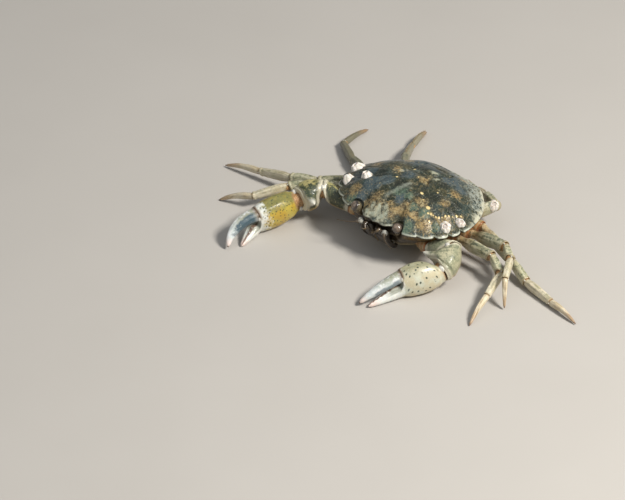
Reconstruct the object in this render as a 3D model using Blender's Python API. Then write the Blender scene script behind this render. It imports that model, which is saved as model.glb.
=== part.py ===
"""A European shore crab, Carcinus maenas, crouching on the shore with both claws lowered.

Each plate or segment of its shell is one closed solid. Lengths are written in millimetres and built
in metres. The crab faces -Y, its left is +X and up is +Z. Until the last step the origin lies on the
ground, under the middle of the line through the tips of the two fifth teeth.
"""

import math

import bmesh
import bpy
from mathutils import Vector

MM = 0.001
GAP = 0.3  # between pieces that meet
GROUND = 0.0
SHARP_ANGLE = math.radians(50)  # edges sharper than this are shaded as edges
UP = Vector((0, 0, 1))

# Carapace: WIDTH is measured across the tips of the fifth teeth, and the other sizes follow it.
WIDTH = 60.0
LENGTH = 0.79 * WIDTH
FRONT = -0.31 * WIDTH  # y of the front edge
BACK = FRONT + LENGTH
MIDDLE = 0.05 * WIDTH  # y of the point that the rings of the shell close in on
EDGE_HEIGHT = 17.0
EDGE_DROP = 2.2  # how much lower the edge lies at the back
DOME = 9.5
DOME_POWER = 2.6
SHELL_EDGE = 1.3
TOOTH_THICKNESS = 0.8
FRONT_LOBES = ((0, 0), (0.035, 0.013), (0.067, 0.007), (0.092, 0.014), (0.108, 0.028))  # in widths
SHOULDER = (0.495, 0.36)  # behind the fifth tooth
FLANK = (0.458, 0.595)  # bends the edge between the shoulder and the corner
CORNER = (0.22, 0.765)
LOWER_RINGS = (0.5, 0.9, 1.0)
UPPER_RINGS = (1.0, 0.94, 0.84, 0.7, 0.53, 0.35, 0.16)
TOOTH_BACK = (0.02, 0.075, 0.145, 0.225, 0.31)  # tips behind the front edge, in widths
TOOTH_ARC_POWER = 2.3
TOOTH_ARC_CENTRE = 0.36
TOOTH_NOTCH = 0.026
ORBIT_NOTCH = 0.035

# Underside: (level as a part of the height up to the carapace, then how much of the outline's reach
# is kept there: to the sides, to the front and to the back).
BELLY = 4.8
UNDERSIDE = (
    (1.0, 0.9, 0.93, 0.93),
    (0.72, 0.82, 0.92, 0.88),
    (0.44, 0.6, 0.88, 0.8),
    (0.17, 0.5, 0.76, 0.66),
    (0.0, 0.38, 0.55, 0.45),
)

# Plates on the underside
PLATE_GAP = 0.4
ABDOMEN_WIDTHS = (11.5, 11.7, 11.5, 11, 9.5, 8, 6.4, 5, 3)
ABDOMEN_THICKNESS = 1.1
MAXILLIPED_WIDTHS = (5, 6, 6.1, 5.6, 4)
MAXILLIPED_THICKNESS = 0.8
MAXILLIPED_OUT = 3.25

# Eyes, set in notches of the carapace, and antennae beside them
EYE_RADIUS = 2.2
EYE = (0.178 * WIDTH, FRONT + 0.042 * WIDTH, EDGE_HEIGHT + 0.3)
EYE_CLEARANCE = 0.8  # to the notch in the carapace
EYE_SOCKET = EYE_RADIUS + 1.6  # radius of the hollow in the body
STALK_WIDTHS = (2.0, 1.6)
ANTENNA_FOOT = (0.098 * WIDTH, FRONT + 0.7, EDGE_HEIGHT - 3.2)
ANTENNA_ELBOW = (2.2, -4.2, -0.2)  # from the foot
ANTENNA_TIP = (8.5, -5.2, -0.8)
ANTENNA_WIDTHS = (1.9, 0.9, 0.55)  # at the foot, where the whip starts and at its tip
WHIP_START = 0.25

# Legs: ring profiles as (part of the length, height, width), and the pose of each leg.
LEG_SIDES = 10
CLAW_SIDES = 14
SECTION_POWER = 2.3
MITRE_LIMIT = 1.15  # how far the corner of a bent joint may stand out, in radii
MERUS = ((0, 3.2, 2.8), (0.16, 3.4, 2.9), (0.3, 4.9, 3.3), (0.6, 5.4, 3.4), (0.88, 4.8, 3.3), (1, 4.4, 3.4))
CARPUS = ((0, 3.3, 2.7), (0.3, 4.2, 3.2), (0.75, 4.5, 3.4), (1, 4.1, 3.3))
PROPODUS = ((0, 3.1, 2.6), (0.2, 3.8, 2.9), (0.7, 3.6, 2.7), (1, 3.1, 2.6))
DACTYLUS = ((0, 2.5, 2.2), (0.15, 2.8, 2.2), (0.45, 2.3, 1.8), (0.8, 1.4, 1.2), (1, 0.8, 0.7))
PADDLE_PROPODUS = ((0, 3.1, 2.4), (0.25, 4.6, 2.5), (0.7, 4.5, 2.3), (1, 3.3, 2.1))
PADDLE_DACTYLUS = ((0, 2.6, 1.8), (0.2, 3.6, 1.9), (0.5, 3.4, 1.6), (0.82, 1.9, 1.1), (1, 0.8, 0.7))
SEGMENTS = ("merus", "carpus", "propodus", "dactylus")
DACTYLUS_BOW = 0.9


class Limb:
    """One leg or claw arm: where its coxa ends, and the length, heading and slope of each segment.

    A heading of 0 points straight out from the side of the body, and a positive one turns backwards.
    """

    def __init__(self, side, root, base, segments):
        self.side = side
        self.root = Vector((side * root[0], root[1], ROOT_HEIGHT))
        self.points = [Vector((side * base[0], base[1], COXA_HEIGHT))]
        for length, heading, slope in segments:
            turn, rise = math.radians(heading), math.radians(slope)
            out = side * math.cos(turn) * math.cos(rise)
            step = Vector((out, math.sin(turn) * math.cos(rise), math.sin(rise)))
            self.points.append(self.points[-1] + length * step)

    def normal(self, joint):
        """The joint's plane halves the bend between the two pieces that meet there."""
        before = self.points[joint] - (self.points[joint - 1] if joint else self.root)
        if joint == len(self.points) - 1:
            return before.normalized()
        after = self.points[joint + 1] - self.points[joint]
        return (before.normalized() + after.normalized()).normalized()


COXA_HEIGHT = 9.5
ROOT_HEIGHT = 8.5
LEG_ROOTS = {2: (12, 1), 3: (12, 6), 4: (11, 10.5), 5: (7, 12.5)}  # inside the body
LEG_BASES = {2: (24, 3), 3: (25, 9), 4: (25, 15.5), 5: (16.5, 18.5)}  # where the coxae end
LEG_POSES = {
    ("left", 2): ((17.1, 1, 0), (8.7, -25, -18), (12.7, -71, -10), (15.1, -73, -16)),
    ("left", 3): ((17.2, 2, 6), (7.2, -34, -9), (12.3, -56, -2), (10.7, -48, -56)),
    ("left", 4): ((20, -13, -13), (12, -19, -11), (14.8, -10, -3), (14.8, -10, -5)),
    ("left", 5): ((11.5, 79, 1), (8.4, 158, -8), (11.6, 158, -20), (12.6, 150, -19)),
    ("right", 2): ((19.8, -33, -3), (10.4, -42, -2), (13.9, -57, -10), (15.2, -21, -21)),
    ("right", 3): ((21.9, -35, -5), (11.3, -23, -5), (15, -9, -10), (16.7, -10, -11)),
    ("right", 4): ((14.2, 8, -19), (10.4, 20, -8), (14.7, 31, -5), (16.3, 82, -6)),
    ("right", 5): ((14.3, 41, -10), (9.3, 48, -9), (12.8, 58, -14), (14.9, 70, -7)),
}

# Claws: the arm's pose, then how far each finger tip lies out, ahead and below the hinge.
CLAW_ROOT = (9, -4)
CLAW_BASE = (20.5, -9)
CLAW_POSES = {
    "left": ((10, 11, 16), (9.9, -73, -28), (15.5, -118, -6.5)),
    "right": ((12.3, -12, 15.2), (11, -52, -21), (18.3, -75, -9)),
}
CLAW_LEAN = {"left": 0, "right": 18}
CLAW_SIZE = {"left": 1.0, "right": 1.05}
DACTYLUS_ARCH = {"left": (0, 0.5, 1.2), "right": (4, 2.5, 2.5)}
FINGER_TIPS = {
    "left": {"dactylus": (-6.3, 16, -4.3), "pollex": (-3, 14.4, -4.9)},
    "right": {"dactylus": (-0.8, 15.9, -4.5), "pollex": (-3, 11, -5.3)},
}
CLAW_MERUS = ((0, 5, 4.4), (0.25, 6.4, 5.2), (0.7, 7.6, 6.2), (1, 7.2, 6.4))
CLAW_CARPUS = ((0, 6.4, 6), (0.25, 9.6, 9.6), (0.6, 11, 11), (0.85, 10, 10), (1, 7.4, 7.4))
PALM = ((0, 6.6, 5.8), (0.12, 9.6, 7.6), (0.35, 12, 9.2), (0.66, 12.6, 9.6), (0.85, 12, 8.9), (1, 10.9, 7.8))
POLLEX_BASE = (6.1, 6.6)
DACTYLUS_BASE = (4.4, 5.2)
FINGER_TIP = (1.2, 1.1)
CARPAL_SPINE = 3.8
POLLEX_SAG = (0, 0, -0.4)
POLLEX_TAPER = 1.1  # 1 is an even taper, and more keeps the finger wide until nearer its tip
DACTYLUS_TAPER = 2.1

# Barnacles: across and back from the middle of the carapace's edge line, in widths, and base width.
BARNACLES = (
    (-0.434, 0.01, 6.2),
    (-0.4, -0.11, 5.0),
    (-0.27, -0.08, 4.8),
    (0.41, -0.083, 5.0),
    (0.446, 0.019, 3.9),
)
BARNACLE_SIDES = 10
BARNACLE_PROFILE = ((-0.35, 1.0), (0.0, 0.98), (0.24, 0.7), (0.4, 0.46))  # height, width
LEG_BARNACLE = 4.6


def clear_scene():
    for obj in list(bpy.data.objects):
        bpy.data.objects.remove(obj)


def shell_material(name, colour, roughness=0.35):
    material = bpy.data.materials.new(name)
    material.use_nodes = True
    shader = material.node_tree.nodes["Principled BSDF"]
    shader.inputs["Base Color"].default_value = (*colour, 1)
    shader.inputs["Roughness"].default_value = roughness
    shader.inputs["Metallic"].default_value = 0
    return material


def solid(name, points, faces, colour, origin, parent, roughness=0.35):
    """Makes the object of one piece, with its origin on the joint that carries it."""
    mesh = bpy.data.meshes.new(name)
    mesh.from_pydata([(point - origin) * MM for point in points], [], faces)
    edit = bmesh.new()
    edit.from_mesh(mesh)
    bmesh.ops.recalc_face_normals(edit, faces=edit.faces)
    edit.to_mesh(mesh)
    edit.free()
    mesh.shade_smooth()
    mesh.set_sharp_from_angle(angle=SHARP_ANGLE)
    mesh.materials.append(shell_material(name, colour, roughness))
    obj = bpy.data.objects.new(name, mesh)
    obj.location = origin * MM
    obj.parent = parent
    bpy.context.scene.collection.objects.link(obj)
    return obj


def skin_rings(rings):
    """Faces over a stack of rings that all have the same number of points, closed at both ends."""
    count = len(rings[0])
    points = [point for ring in rings for point in ring]
    faces = [tuple(reversed(range(count)))]
    for row in range(len(rings) - 1):
        for i in range(count):
            j = (i + 1) % count
            faces.append((row * count + i, row * count + j, (row + 1) * count + j, (row + 1) * count + i))
    faces.append(tuple(range((len(rings) - 1) * count, len(rings) * count)))
    return points, faces


def section(height, width, sides, power=SECTION_POWER):
    """(across, up) points of a rounded section."""
    points = []
    for i in range(sides):
        angle = 2 * math.pi * (i + 0.5) / sides
        across, up = math.cos(angle), math.sin(angle)
        points.append((
            math.copysign(abs(across) ** (2 / power), across) * width / 2,
            math.copysign(abs(up) ** (2 / power), up) * height / 2,
        ))
    return points


def frame_of(direction, lean=0.0):
    """Across and up vectors of a piece that points along direction, its top leaning by an angle."""
    across = direction.cross(UP).normalized()
    up = across.cross(direction).normalized()
    turn = math.radians(lean)
    return math.cos(turn) * across - math.sin(turn) * up, math.sin(turn) * across + math.cos(turn) * up


def shaft(start, end, normals, profile, sides, gaps=(GAP / 2, GAP / 2), bow=0.0, lean=0.0):
    """Rings from start to end, cut off at each end by the plane of its joint."""
    direction = (end - start).normalized()
    length = (end - start).length
    across, up = frame_of(direction, lean)

    def cut(part, normal, gap, sign):
        """How far each line of the shaft is moved along it, to end on the joint's plane."""
        slope = direction.dot(normal)
        outline = section(part[1], part[2], sides)
        return [(sign * gap - (across * a + up * b).dot(normal)) / slope for a, b in outline]

    def rounded(ring, centre, limit):
        """Draws the corners of a joint's end ring in towards the joint."""
        return [centre + (p - centre) * min(1.0, limit / (p - centre).length) for p in ring]

    first = cut(profile[0], normals[0], gaps[0], 1)
    last = cut(profile[-1], normals[1], gaps[1], -1)
    rings = []
    for part, height, width in profile:
        centre = start + up * bow * math.sin(math.pi * part)
        ring = []
        for i, (a, b) in enumerate(section(height, width, sides)):
            along = part * length + first[i] * (1 - part) ** 2 + last[i] * part ** 2
            ring.append(centre + direction * along + across * a + up * b)
        rings.append(ring)
    near, far = start + normals[0] * gaps[0], end - normals[1] * gaps[1]
    rings[0] = rounded(rings[0], near, MITRE_LIMIT * max(profile[0][1:]) / 2)
    rings[-1] = rounded(rings[-1], far, MITRE_LIMIT * max(profile[-1][1:]) / 2)
    return rings


def on_ground(rings):
    """Flattens what would reach below the ground."""
    return [[Vector((p.x, p.y, max(p.z, GROUND))) for p in ring] for ring in rings]


def join(target, other, operation="UNION"):
    """Joins a helper to a piece, or cuts it out, and removes the helper."""
    modifier = target.modifiers.new(operation.lower(), "BOOLEAN")
    modifier.operation = operation
    modifier.solver = "EXACT"
    modifier.object = other
    bpy.context.view_layer.update()
    graph = bpy.context.evaluated_depsgraph_get()
    result = bpy.data.meshes.new_from_object(target.evaluated_get(graph))
    result.set_sharp_from_angle(angle=SHARP_ANGLE)
    target.modifiers.remove(modifier)
    target.data = result
    bpy.data.objects.remove(other)


# The carapace's outline


def tooth_arc(back):
    """The point of the curve through the tooth tips, that far behind the front edge, in widths."""
    reach = abs(TOOTH_ARC_CENTRE - back) / (TOOTH_ARC_CENTRE + 0.01)
    return Vector((0.5 * (1 - reach ** TOOTH_ARC_POWER) ** (1 / TOOTH_ARC_POWER), back))


def bezier(start, middle, end, part):
    return start.lerp(middle, part).lerp(middle.lerp(end, part), part)


def half_outline():
    """The left half of the edge, from the middle of the front to the middle of the back, in widths."""
    points = [Vector(lobe) for lobe in FRONT_LOBES]
    tip = tooth_arc(TOOTH_BACK[0])
    inner = points[-1]
    for part in (0.2, 0.4, 0.6, 0.8):  # the notch over the eye
        points.append(inner.lerp(tip, part) + Vector((0, ORBIT_NOTCH * math.sin(math.pi * part))))
    for i, back in enumerate(TOOTH_BACK):
        tip = tooth_arc(back)
        points.append(tip)
        if i + 1 < len(TOOTH_BACK):
            following = TOOTH_BACK[i + 1]
            points.append(tooth_arc(back + 0.45 * (following - back)) + Vector((0.003, 0)))
            points.append(tooth_arc(following) - Vector((TOOTH_NOTCH, 0.002)))
    for step in range(6):
        points.append(bezier(Vector(SHOULDER), Vector(FLANK), Vector(CORNER), step / 5))
    points.append(Vector((0.12, 0.785)))
    points.append(Vector((0, LENGTH / WIDTH)))
    return points


def edge_outline():
    """The whole edge as (x, y) points, anticlockwise from the middle of the front."""
    half = [Vector((p.x * WIDTH, FRONT + p.y * WIDTH)) for p in half_outline()]
    return half + [Vector((-p.x, p.y)) for p in reversed(half[1:-1])]


def eased(outline, passes):
    """The outline with its teeth and notches smoothed away."""
    for _ in range(passes):
        count = len(outline)
        outline = [(outline[i - 1] + 2 * outline[i] + outline[(i + 1) % count]) / 4 for i in range(count)]
    return outline


def edge_height(y):
    """Height of the edge: level along the teeth, and lower towards the back."""
    back = max(0.0, y) / BACK
    return EDGE_HEIGHT - EDGE_DROP * back ** 1.4


def scaled(point, across, front, back):
    """The point brought nearer to the middle of the shell."""
    return Vector((point.x * across, MIDDLE + (point.y - MIDDLE) * (front if point.y < MIDDLE else back)))


def carapace(parent):
    outline = edge_outline()
    smooth = eased(outline, 4)
    rings = []
    for ring in LOWER_RINGS:
        flat = [scaled(p if ring == 1.0 else q, ring, ring, ring) for p, q in zip(outline, smooth)]
        depth = SHELL_EDGE if ring < 1.0 else TOOTH_THICKNESS
        rings.append([Vector((p.x, p.y, edge_height(p.y) - depth)) for p in flat])
    for ring in UPPER_RINGS:
        flat = [scaled(p if ring == 1.0 else q, ring, ring, ring) for p, q in zip(outline, smooth)]
        lift = DOME * (1 - ring ** DOME_POWER)
        rings.append([Vector((p.x, p.y, edge_height(p.y) + lift)) for p in flat])
    points, faces = skin_rings(rings)
    origin = Vector((0, MIDDLE, EDGE_HEIGHT))
    shell = solid("carapace", points, faces, (0.1, 0.13, 0.08), origin, parent)
    for across, back, width in BARNACLES:
        join(shell, barnacle(Vector((across * WIDTH, back * WIDTH)), width, parent))
    for side in (1, -1):
        join(shell, eye_hollow(side, EYE_RADIUS + EYE_CLEARANCE, parent), "DIFFERENCE")
    return shell


def dome_height(x, y):
    """Height of the carapace's upper face, from how far out towards the edge the point lies."""
    reach = 0.0
    smooth = eased(edge_outline(), 4)
    heading = math.atan2(x, MIDDLE - y)
    for i, p in enumerate(smooth):
        q = smooth[(i + 1) % len(smooth)]
        first = math.atan2(p.x, MIDDLE - p.y)
        second = math.atan2(q.x, MIDDLE - q.y)
        if min(first, second) <= heading <= max(first, second) and abs(first - second) < math.pi:
            part = (heading - first) / (second - first)
            rim = p.lerp(q, part)
            reach = math.hypot(x, y - MIDDLE) / math.hypot(rim.x, rim.y - MIDDLE)
    return edge_height(y) + DOME * (1 - min(1.0, reach) ** DOME_POWER)


def barnacle(place, width, parent):
    """A low cone of shell plates, sunk a little into what it grows on."""
    height = dome_height(place.x, place.y)
    foot = Vector((place.x, place.y, height))
    slope = 1.0
    lean_x = dome_height(place.x + slope, place.y) - dome_height(place.x - slope, place.y)
    lean_y = dome_height(place.x, place.y + slope) - dome_height(place.x, place.y - slope)
    out = Vector((-lean_x, -lean_y, 2 * slope)).normalized()
    return cone(foot, out, width, parent)


def cone(foot, out, width, parent):
    """The solid of one barnacle."""
    rings = []
    across, up = frame_of(out)
    for height, part in BARNACLE_PROFILE:
        ring = section(width * part, width * part, BARNACLE_SIDES, 2)
        rings.append([foot + out * height * width + across * a + up * b for a, b in ring])
    points, faces = skin_rings(rings)
    return solid("barnacle", points, faces, (0.8, 0.78, 0.72), foot, parent)


# The body under the carapace


def underside(point, level, across, front, back):
    """The point of the body's side below an edge point, at one level."""
    flat = scaled(point, across, front, back)
    top = edge_height(flat.y) - SHELL_EDGE - GAP
    return Vector((flat.x, flat.y, BELLY + (top - BELLY) * level))


def thorax(parent, limbs):
    smooth = eased(edge_outline(), 6)
    rings = [[underside(p, *level) for p in smooth] for level in reversed(UNDERSIDE)]
    points, faces = skin_rings(rings)
    body = solid("thorax", points, faces, (0.35, 0.27, 0.12), Vector((0, MIDDLE, BELLY)), parent)
    for limb in limbs:
        join(body, coxa(limb, parent))
    for side in (1, -1):
        join(body, eye_hollow(side, EYE_SOCKET, parent), "DIFFERENCE")
    return body


def coxa(limb, parent):
    """The first, short segment, which is joined to the body."""
    claw = limb.root.y == CLAW_ROOT[1]
    height, width = (6.2, 5.6) if claw else (5.2, 4.6)
    base, normal = limb.points[0], limb.normal(0)
    profile = ((0, height, width), (0.7, height, width), (1, height - 1, width - 0.8))
    direction = (base - limb.root).normalized()
    points, faces = skin_rings(shaft(limb.root, base, (direction, normal), profile, LEG_SIDES, (0, GAP / 2)))
    return solid("coxa", points, faces, (0.4, 0.2, 0.08), base, parent)


def middle_profile(back):
    """The body's middle line, at the back or at the front, from the carapace down and inwards."""
    edge = Vector((0, BACK if back else FRONT))
    return [underside(edge, *level) for level in UNDERSIDE]


def strip(path, widths, thickness, clearance, x=0.0):
    """A plate that follows a path in the x = 0 plane, held off it by a clearance."""
    rings = []
    for i, point in enumerate(path):
        before, after = path[max(0, i - 1)], path[min(len(path) - 1, i + 1)]
        along = (after - before).normalized()
        out = along.cross(Vector((1, 0, 0)))
        out = out if out.z < 0.2 else -out
        half = widths[i] / 2
        full = thickness * (0.6 if i in (0, len(path) - 1) else 1.0)
        inner, outer = point + out * clearance, point + out * (clearance + full)
        crown = outer + out * 0.3 * full
        corners = ((inner, -half), (inner, half), (outer, 0.8 * half), (crown, 0), (outer, -0.8 * half))
        rings.append([corner + Vector((x + across, 0, 0)) for corner, across in corners])
    return skin_rings(rings)


def abdomen(parent):
    """The narrow tail of a male, folded forward under the body."""
    rear = middle_profile(True)
    path = [rear[0].lerp(rear[1], 0.4), *rear[1:], *(Vector((0, y, BELLY)) for y in (9, 4, -1, -5))]
    points, faces = strip(path, ABDOMEN_WIDTHS, ABDOMEN_THICKNESS, PLATE_GAP)
    return solid("abdomen", points, faces, (0.5, 0.42, 0.22), path[0], parent)


def maxilliped(side, name, parent):
    """The outer plate over one side of the mouth."""
    front = middle_profile(False)
    path = [front[0].lerp(front[1], 0.5), front[1], front[2], front[3], front[3].lerp(front[4], 0.4)]
    points, faces = strip(path, MAXILLIPED_WIDTHS, MAXILLIPED_THICKNESS, PLATE_GAP, side * MAXILLIPED_OUT)
    return solid(name, points, faces, (0.3, 0.25, 0.12), path[0], parent)


# Eyes and antennae

def ball(name, centre, radius, colour, parent, roughness):
    edit = bmesh.new()
    bmesh.ops.create_uvsphere(edit, u_segments=14, v_segments=9, radius=radius)
    points = [centre + v.co for v in edit.verts]
    faces = [tuple(v.index for v in face.verts) for face in edit.faces]
    edit.free()
    return solid(name, points, faces, colour, centre, parent, roughness)


def eye_hollow(side, radius, parent):
    return ball("hollow", Vector((side * EYE[0], EYE[1], EYE[2])), radius, (0, 0, 0), parent, 0.5)


def eye(side, name, parent):
    return ball(name, Vector((side * EYE[0], EYE[1], EYE[2])), EYE_RADIUS, (0.16, 0.13, 0.12), parent, 0.1)


def eyestalk(side, name, parent):
    centre = Vector((side * EYE[0], EYE[1], EYE[2]))
    inwards = Vector((-0.3 * side, 0.35, -0.89)).normalized()
    start = centre + inwards * (EYE_RADIUS + GAP)
    profile = [(i, width, width) for i, width in enumerate(STALK_WIDTHS)]
    end = centre + inwards * (EYE_SOCKET - GAP)
    points, faces = skin_rings(shaft(start, end, (inwards, inwards), profile, LEG_SIDES, (0, 0)))
    return solid(name, points, faces, (0.3, 0.25, 0.18), start, parent)


def antenna(side, name, parent):
    """The base segments and the fine whip beside the eye, as one piece."""
    start = Vector((side * ANTENNA_FOOT[0], *ANTENNA_FOOT[1:]))
    elbow = start + Vector((side * ANTENNA_ELBOW[0], *ANTENNA_ELBOW[1:]))
    tip = start + Vector((side * ANTENNA_TIP[0], *ANTENNA_TIP[1:]))
    foot_width, whip_width, tip_width = ANTENNA_WIDTHS
    rings = []
    for step in range(11):
        part = step / 10
        place = bezier(start, elbow, tip, part)
        ahead = elbow.lerp(tip, part) - start.lerp(elbow, part)
        across, up = frame_of(ahead.normalized())
        if part < WHIP_START:
            size = foot_width + (whip_width - foot_width) * part / WHIP_START
        else:
            size = whip_width + (tip_width - whip_width) * (part - WHIP_START) / (1 - WHIP_START)
        rings.append([place + across * a + up * b for a, b in section(size, size, 8, 2)])
    points, faces = skin_rings(rings)
    return solid(name, points, faces, (0.35, 0.25, 0.12), start, parent)


# Legs and claws

LEG_COLOURS = {
    "merus": (0.32, 0.3, 0.16),
    "carpus": (0.34, 0.33, 0.18),
    "propodus": (0.5, 0.45, 0.28),
    "dactylus": (0.55, 0.36, 0.2),
}


def leg(side_name, number, limb, parent):
    profiles = [MERUS, CARPUS, PROPODUS, DACTYLUS]
    if number == 5:
        profiles[2:] = [PADDLE_PROPODUS, PADDLE_DACTYLUS]
    for i, (part, profile) in enumerate(zip(SEGMENTS, profiles)):
        start, end = limb.points[i], limb.points[i + 1]
        last = part == "dactylus"
        rings = shaft(
            start, end, (limb.normal(i), limb.normal(i + 1)), profile, LEG_SIDES,
            (GAP / 2, 0 if last else GAP / 2), DACTYLUS_BOW if last else 0.0,
        )
        points, faces = skin_rings(on_ground(rings))
        name = f"leg{number}_{side_name}_{part}"
        obj = solid(name, points, faces, LEG_COLOURS[part], start, parent)
        if (side_name, number, part) == ("left", 5, "merus"):
            out = Vector((0.55, -0.25, 0.8)).normalized()
            join(obj, cone(start.lerp(end, 0.7) + 1.5 * out, out, LEG_BARNACLE, parent))


def reached(reach, side):
    """The vector of a reach given as (out, ahead, up)."""
    out, ahead, rise = reach
    return Vector((side * out, -ahead, rise))


def finger_rings(start, tip, normal, base, bow, lean, taper, steps=7):
    """Rings of a finger that leaves the palm's end plane and curves to its tip."""
    middle = start.lerp(tip, 0.5) + bow
    rings = []
    for step in range(steps + 1):
        part = step / steps
        place = bezier(start, middle, tip, part)
        tangent = (middle.lerp(tip, part) - start.lerp(middle, part)).normalized()
        direction = normal.lerp(tangent, min(1.0, 2.5 * part)).normalized()
        across, up = frame_of(direction, lean)
        fade = 1 - part ** taper
        height = FINGER_TIP[0] + (base[0] - FINGER_TIP[0]) * fade
        width = FINGER_TIP[1] + (base[1] - FINGER_TIP[1]) * fade
        rings.append([place + across * a + up * b for a, b in section(height, width, CLAW_SIDES)])
    return rings


def claw_carpus(side_name, limb, parent):
    """The wrist segment, with the spine on its inner side."""
    start, end = limb.points[1:3]
    rings = shaft(start, end, (limb.normal(1), limb.normal(2)), CLAW_CARPUS, CLAW_SIDES)
    centre = start.lerp(end, 0.6)
    inner = Vector((-limb.side, -0.35, 0.25)).normalized()
    ring = rings[2]
    spine = max(range(CLAW_SIDES), key=lambda i: (ring[i] - centre).dot(inner))
    ring[spine] = ring[spine] + inner * CARPAL_SPINE
    points, faces = skin_rings(on_ground(rings))
    return solid(f"claw_{side_name}_carpus", points, faces, (0.36, 0.36, 0.2), start, parent)


def claw(side_name, limb, parent):
    start, end = limb.points[:2]
    points, faces = skin_rings(shaft(start, end, (limb.normal(0), limb.normal(1)), CLAW_MERUS, CLAW_SIDES))
    solid(f"claw_{side_name}_merus", points, faces, (0.34, 0.32, 0.16), start, parent)
    claw_carpus(side_name, limb, parent)

    wrist, hinge = limb.points[2:4]
    axis = (hinge - wrist).normalized()
    lean = limb.side * CLAW_LEAN[side_name]
    across, up = frame_of(axis, lean)
    size = CLAW_SIZE[side_name]
    profile = [(part, height * size, width * size) for part, height, width in PALM]
    pollex_base = [size * reach for reach in POLLEX_BASE]
    dactylus_base = [size * reach for reach in DACTYLUS_BASE]
    palm = shaft(wrist, hinge, (limb.normal(2), axis), profile, CLAW_SIDES, (GAP / 2, 0), 0.0, lean)
    half = profile[-1][1] / 2
    low = hinge - up * (half - 0.25 - pollex_base[0] / 2)
    high = hinge + up * (half - 0.1 - dactylus_base[0] / 2) + axis * GAP
    tips = {}
    for finger, reach in FINGER_TIPS[side_name].items():
        tips[finger] = hinge + reached(reach, limb.side)
    sag = reached(POLLEX_SAG, limb.side)
    pollex = finger_rings(low, tips["pollex"], axis, pollex_base, sag, lean, POLLEX_TAPER)
    points, faces = skin_rings(on_ground(palm + pollex))
    solid(f"claw_{side_name}_palm", points, faces, (0.62, 0.58, 0.36), wrist, parent)
    arch = reached(DACTYLUS_ARCH[side_name], limb.side)
    dactylus = finger_rings(high, tips["dactylus"], axis, dactylus_base, arch, lean, DACTYLUS_TAPER)
    points, faces = skin_rings(on_ground(dactylus))
    solid(f"claw_{side_name}_dactylus", points, faces, (0.75, 0.76, 0.74), high, parent)


def settle(parent):
    """Moves the crab so that the origin is at the middle of its box, on the ground."""
    bpy.context.view_layer.update()
    corners = [obj.matrix_world @ Vector(c) for obj in parent.children for c in obj.bound_box]
    low = [min(c[i] for c in corners) for i in range(3)]
    high = [max(c[i] for c in corners) for i in range(3)]
    parent.location = (-(low[0] + high[0]) / 2, -(low[1] + high[1]) / 2, -low[2])


def build():
    clear_scene()
    crab = bpy.data.objects.new("crab", None)
    bpy.context.scene.collection.objects.link(crab)
    sides = {"left": 1, "right": -1}
    legs = {
        (name, number): Limb(sides[name], LEG_ROOTS[number], LEG_BASES[number], pose)
        for (name, number), pose in LEG_POSES.items()
    }
    claws = {name: Limb(sides[name], CLAW_ROOT, CLAW_BASE, pose) for name, pose in CLAW_POSES.items()}
    carapace(crab)
    thorax(crab, [*legs.values(), *claws.values()])
    abdomen(crab)
    for name, side in sides.items():
        maxilliped(side, f"maxilliped_{name}", crab)
        eye(side, f"eye_{name}", crab)
        eyestalk(side, f"eyestalk_{name}", crab)
        antenna(side, f"antenna_{name}", crab)
        claw(name, claws[name], crab)
    for (name, number), limb in legs.items():
        leg(name, number, limb, crab)
    settle(crab)


build()
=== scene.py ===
"""Looks for a European shore crab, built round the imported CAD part.

Shapes are worked out in millimetres in the crab's own frame: it faces -Y, its left is +X, the ground
is at z = 0, and the origin is under the middle of the line through the tips of the two fifth teeth.
"""

import math

import bpy
import numpy as np
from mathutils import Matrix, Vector, noise


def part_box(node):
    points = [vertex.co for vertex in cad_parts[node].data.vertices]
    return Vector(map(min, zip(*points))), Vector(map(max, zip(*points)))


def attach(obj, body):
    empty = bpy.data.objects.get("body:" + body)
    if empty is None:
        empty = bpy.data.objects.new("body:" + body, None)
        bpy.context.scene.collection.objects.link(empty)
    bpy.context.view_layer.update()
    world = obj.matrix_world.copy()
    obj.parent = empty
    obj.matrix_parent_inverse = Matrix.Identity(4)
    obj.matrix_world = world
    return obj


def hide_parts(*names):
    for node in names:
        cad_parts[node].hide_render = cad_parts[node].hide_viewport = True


MM = 0.001
HALF_GAP = 0.15
X = np.array((1.0, 0.0, 0.0))
UP = np.array((0.0, 0.0, 1.0))

# The carapace, as in the part's source. Heights are in mm, and the points of its edge are in shell
# widths: across, then back from the front.
WIDTH = 60.0
LENGTH = 0.79 * WIDTH
FRONT = -0.31 * WIDTH
BACK = FRONT + LENGTH
MIDDLE = 0.05 * WIDTH
EDGE_HEIGHT = 17.0
EDGE_DROP = 2.2
DOME = 9.5
DOME_POWER = 2.6
SHELL_EDGE = 1.3
FRONT_LOBES = ((0, 0), (0.035, 0.013), (0.067, 0.007), (0.092, 0.014), (0.108, 0.028))
SHOULDER = (0.495, 0.36)
FLANK = (0.458, 0.595)
CORNER = (0.22, 0.765)
REAR = (0.12, 0.785)
TOOTH_BACK = (0.02, 0.075, 0.145, 0.225, 0.31)
TOOTH_ARC_POWER = 2.3
TOOTH_ARC_CENTRE = 0.36
TOOTH_NOTCH = 0.042
# A tooth's outer edge: part of the way to the next tooth, then how far outside the line of the tips.
TOOTH_OUTLINE = ((0, 0), (0.2, 0.003), (0.45, 0.0), (0.7, -0.011), (0.87, -0.026))
ORBIT_NOTCH = 0.035
EDGE_SAMPLES = 320  # along each half of the edge
SHELL_SPREAD = 2.2
BODY_SPREAD = 3.0
SHELL_ROWS = 92
ROW_POWER = 1.15  # over 1, so that the rows are closer together near the rim
LEAST_RING = 0.02
TEETH_FROM = 0.87  # the part of the way to the rim where the teeth and notches begin
RIM_REACH = 26.0
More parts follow.
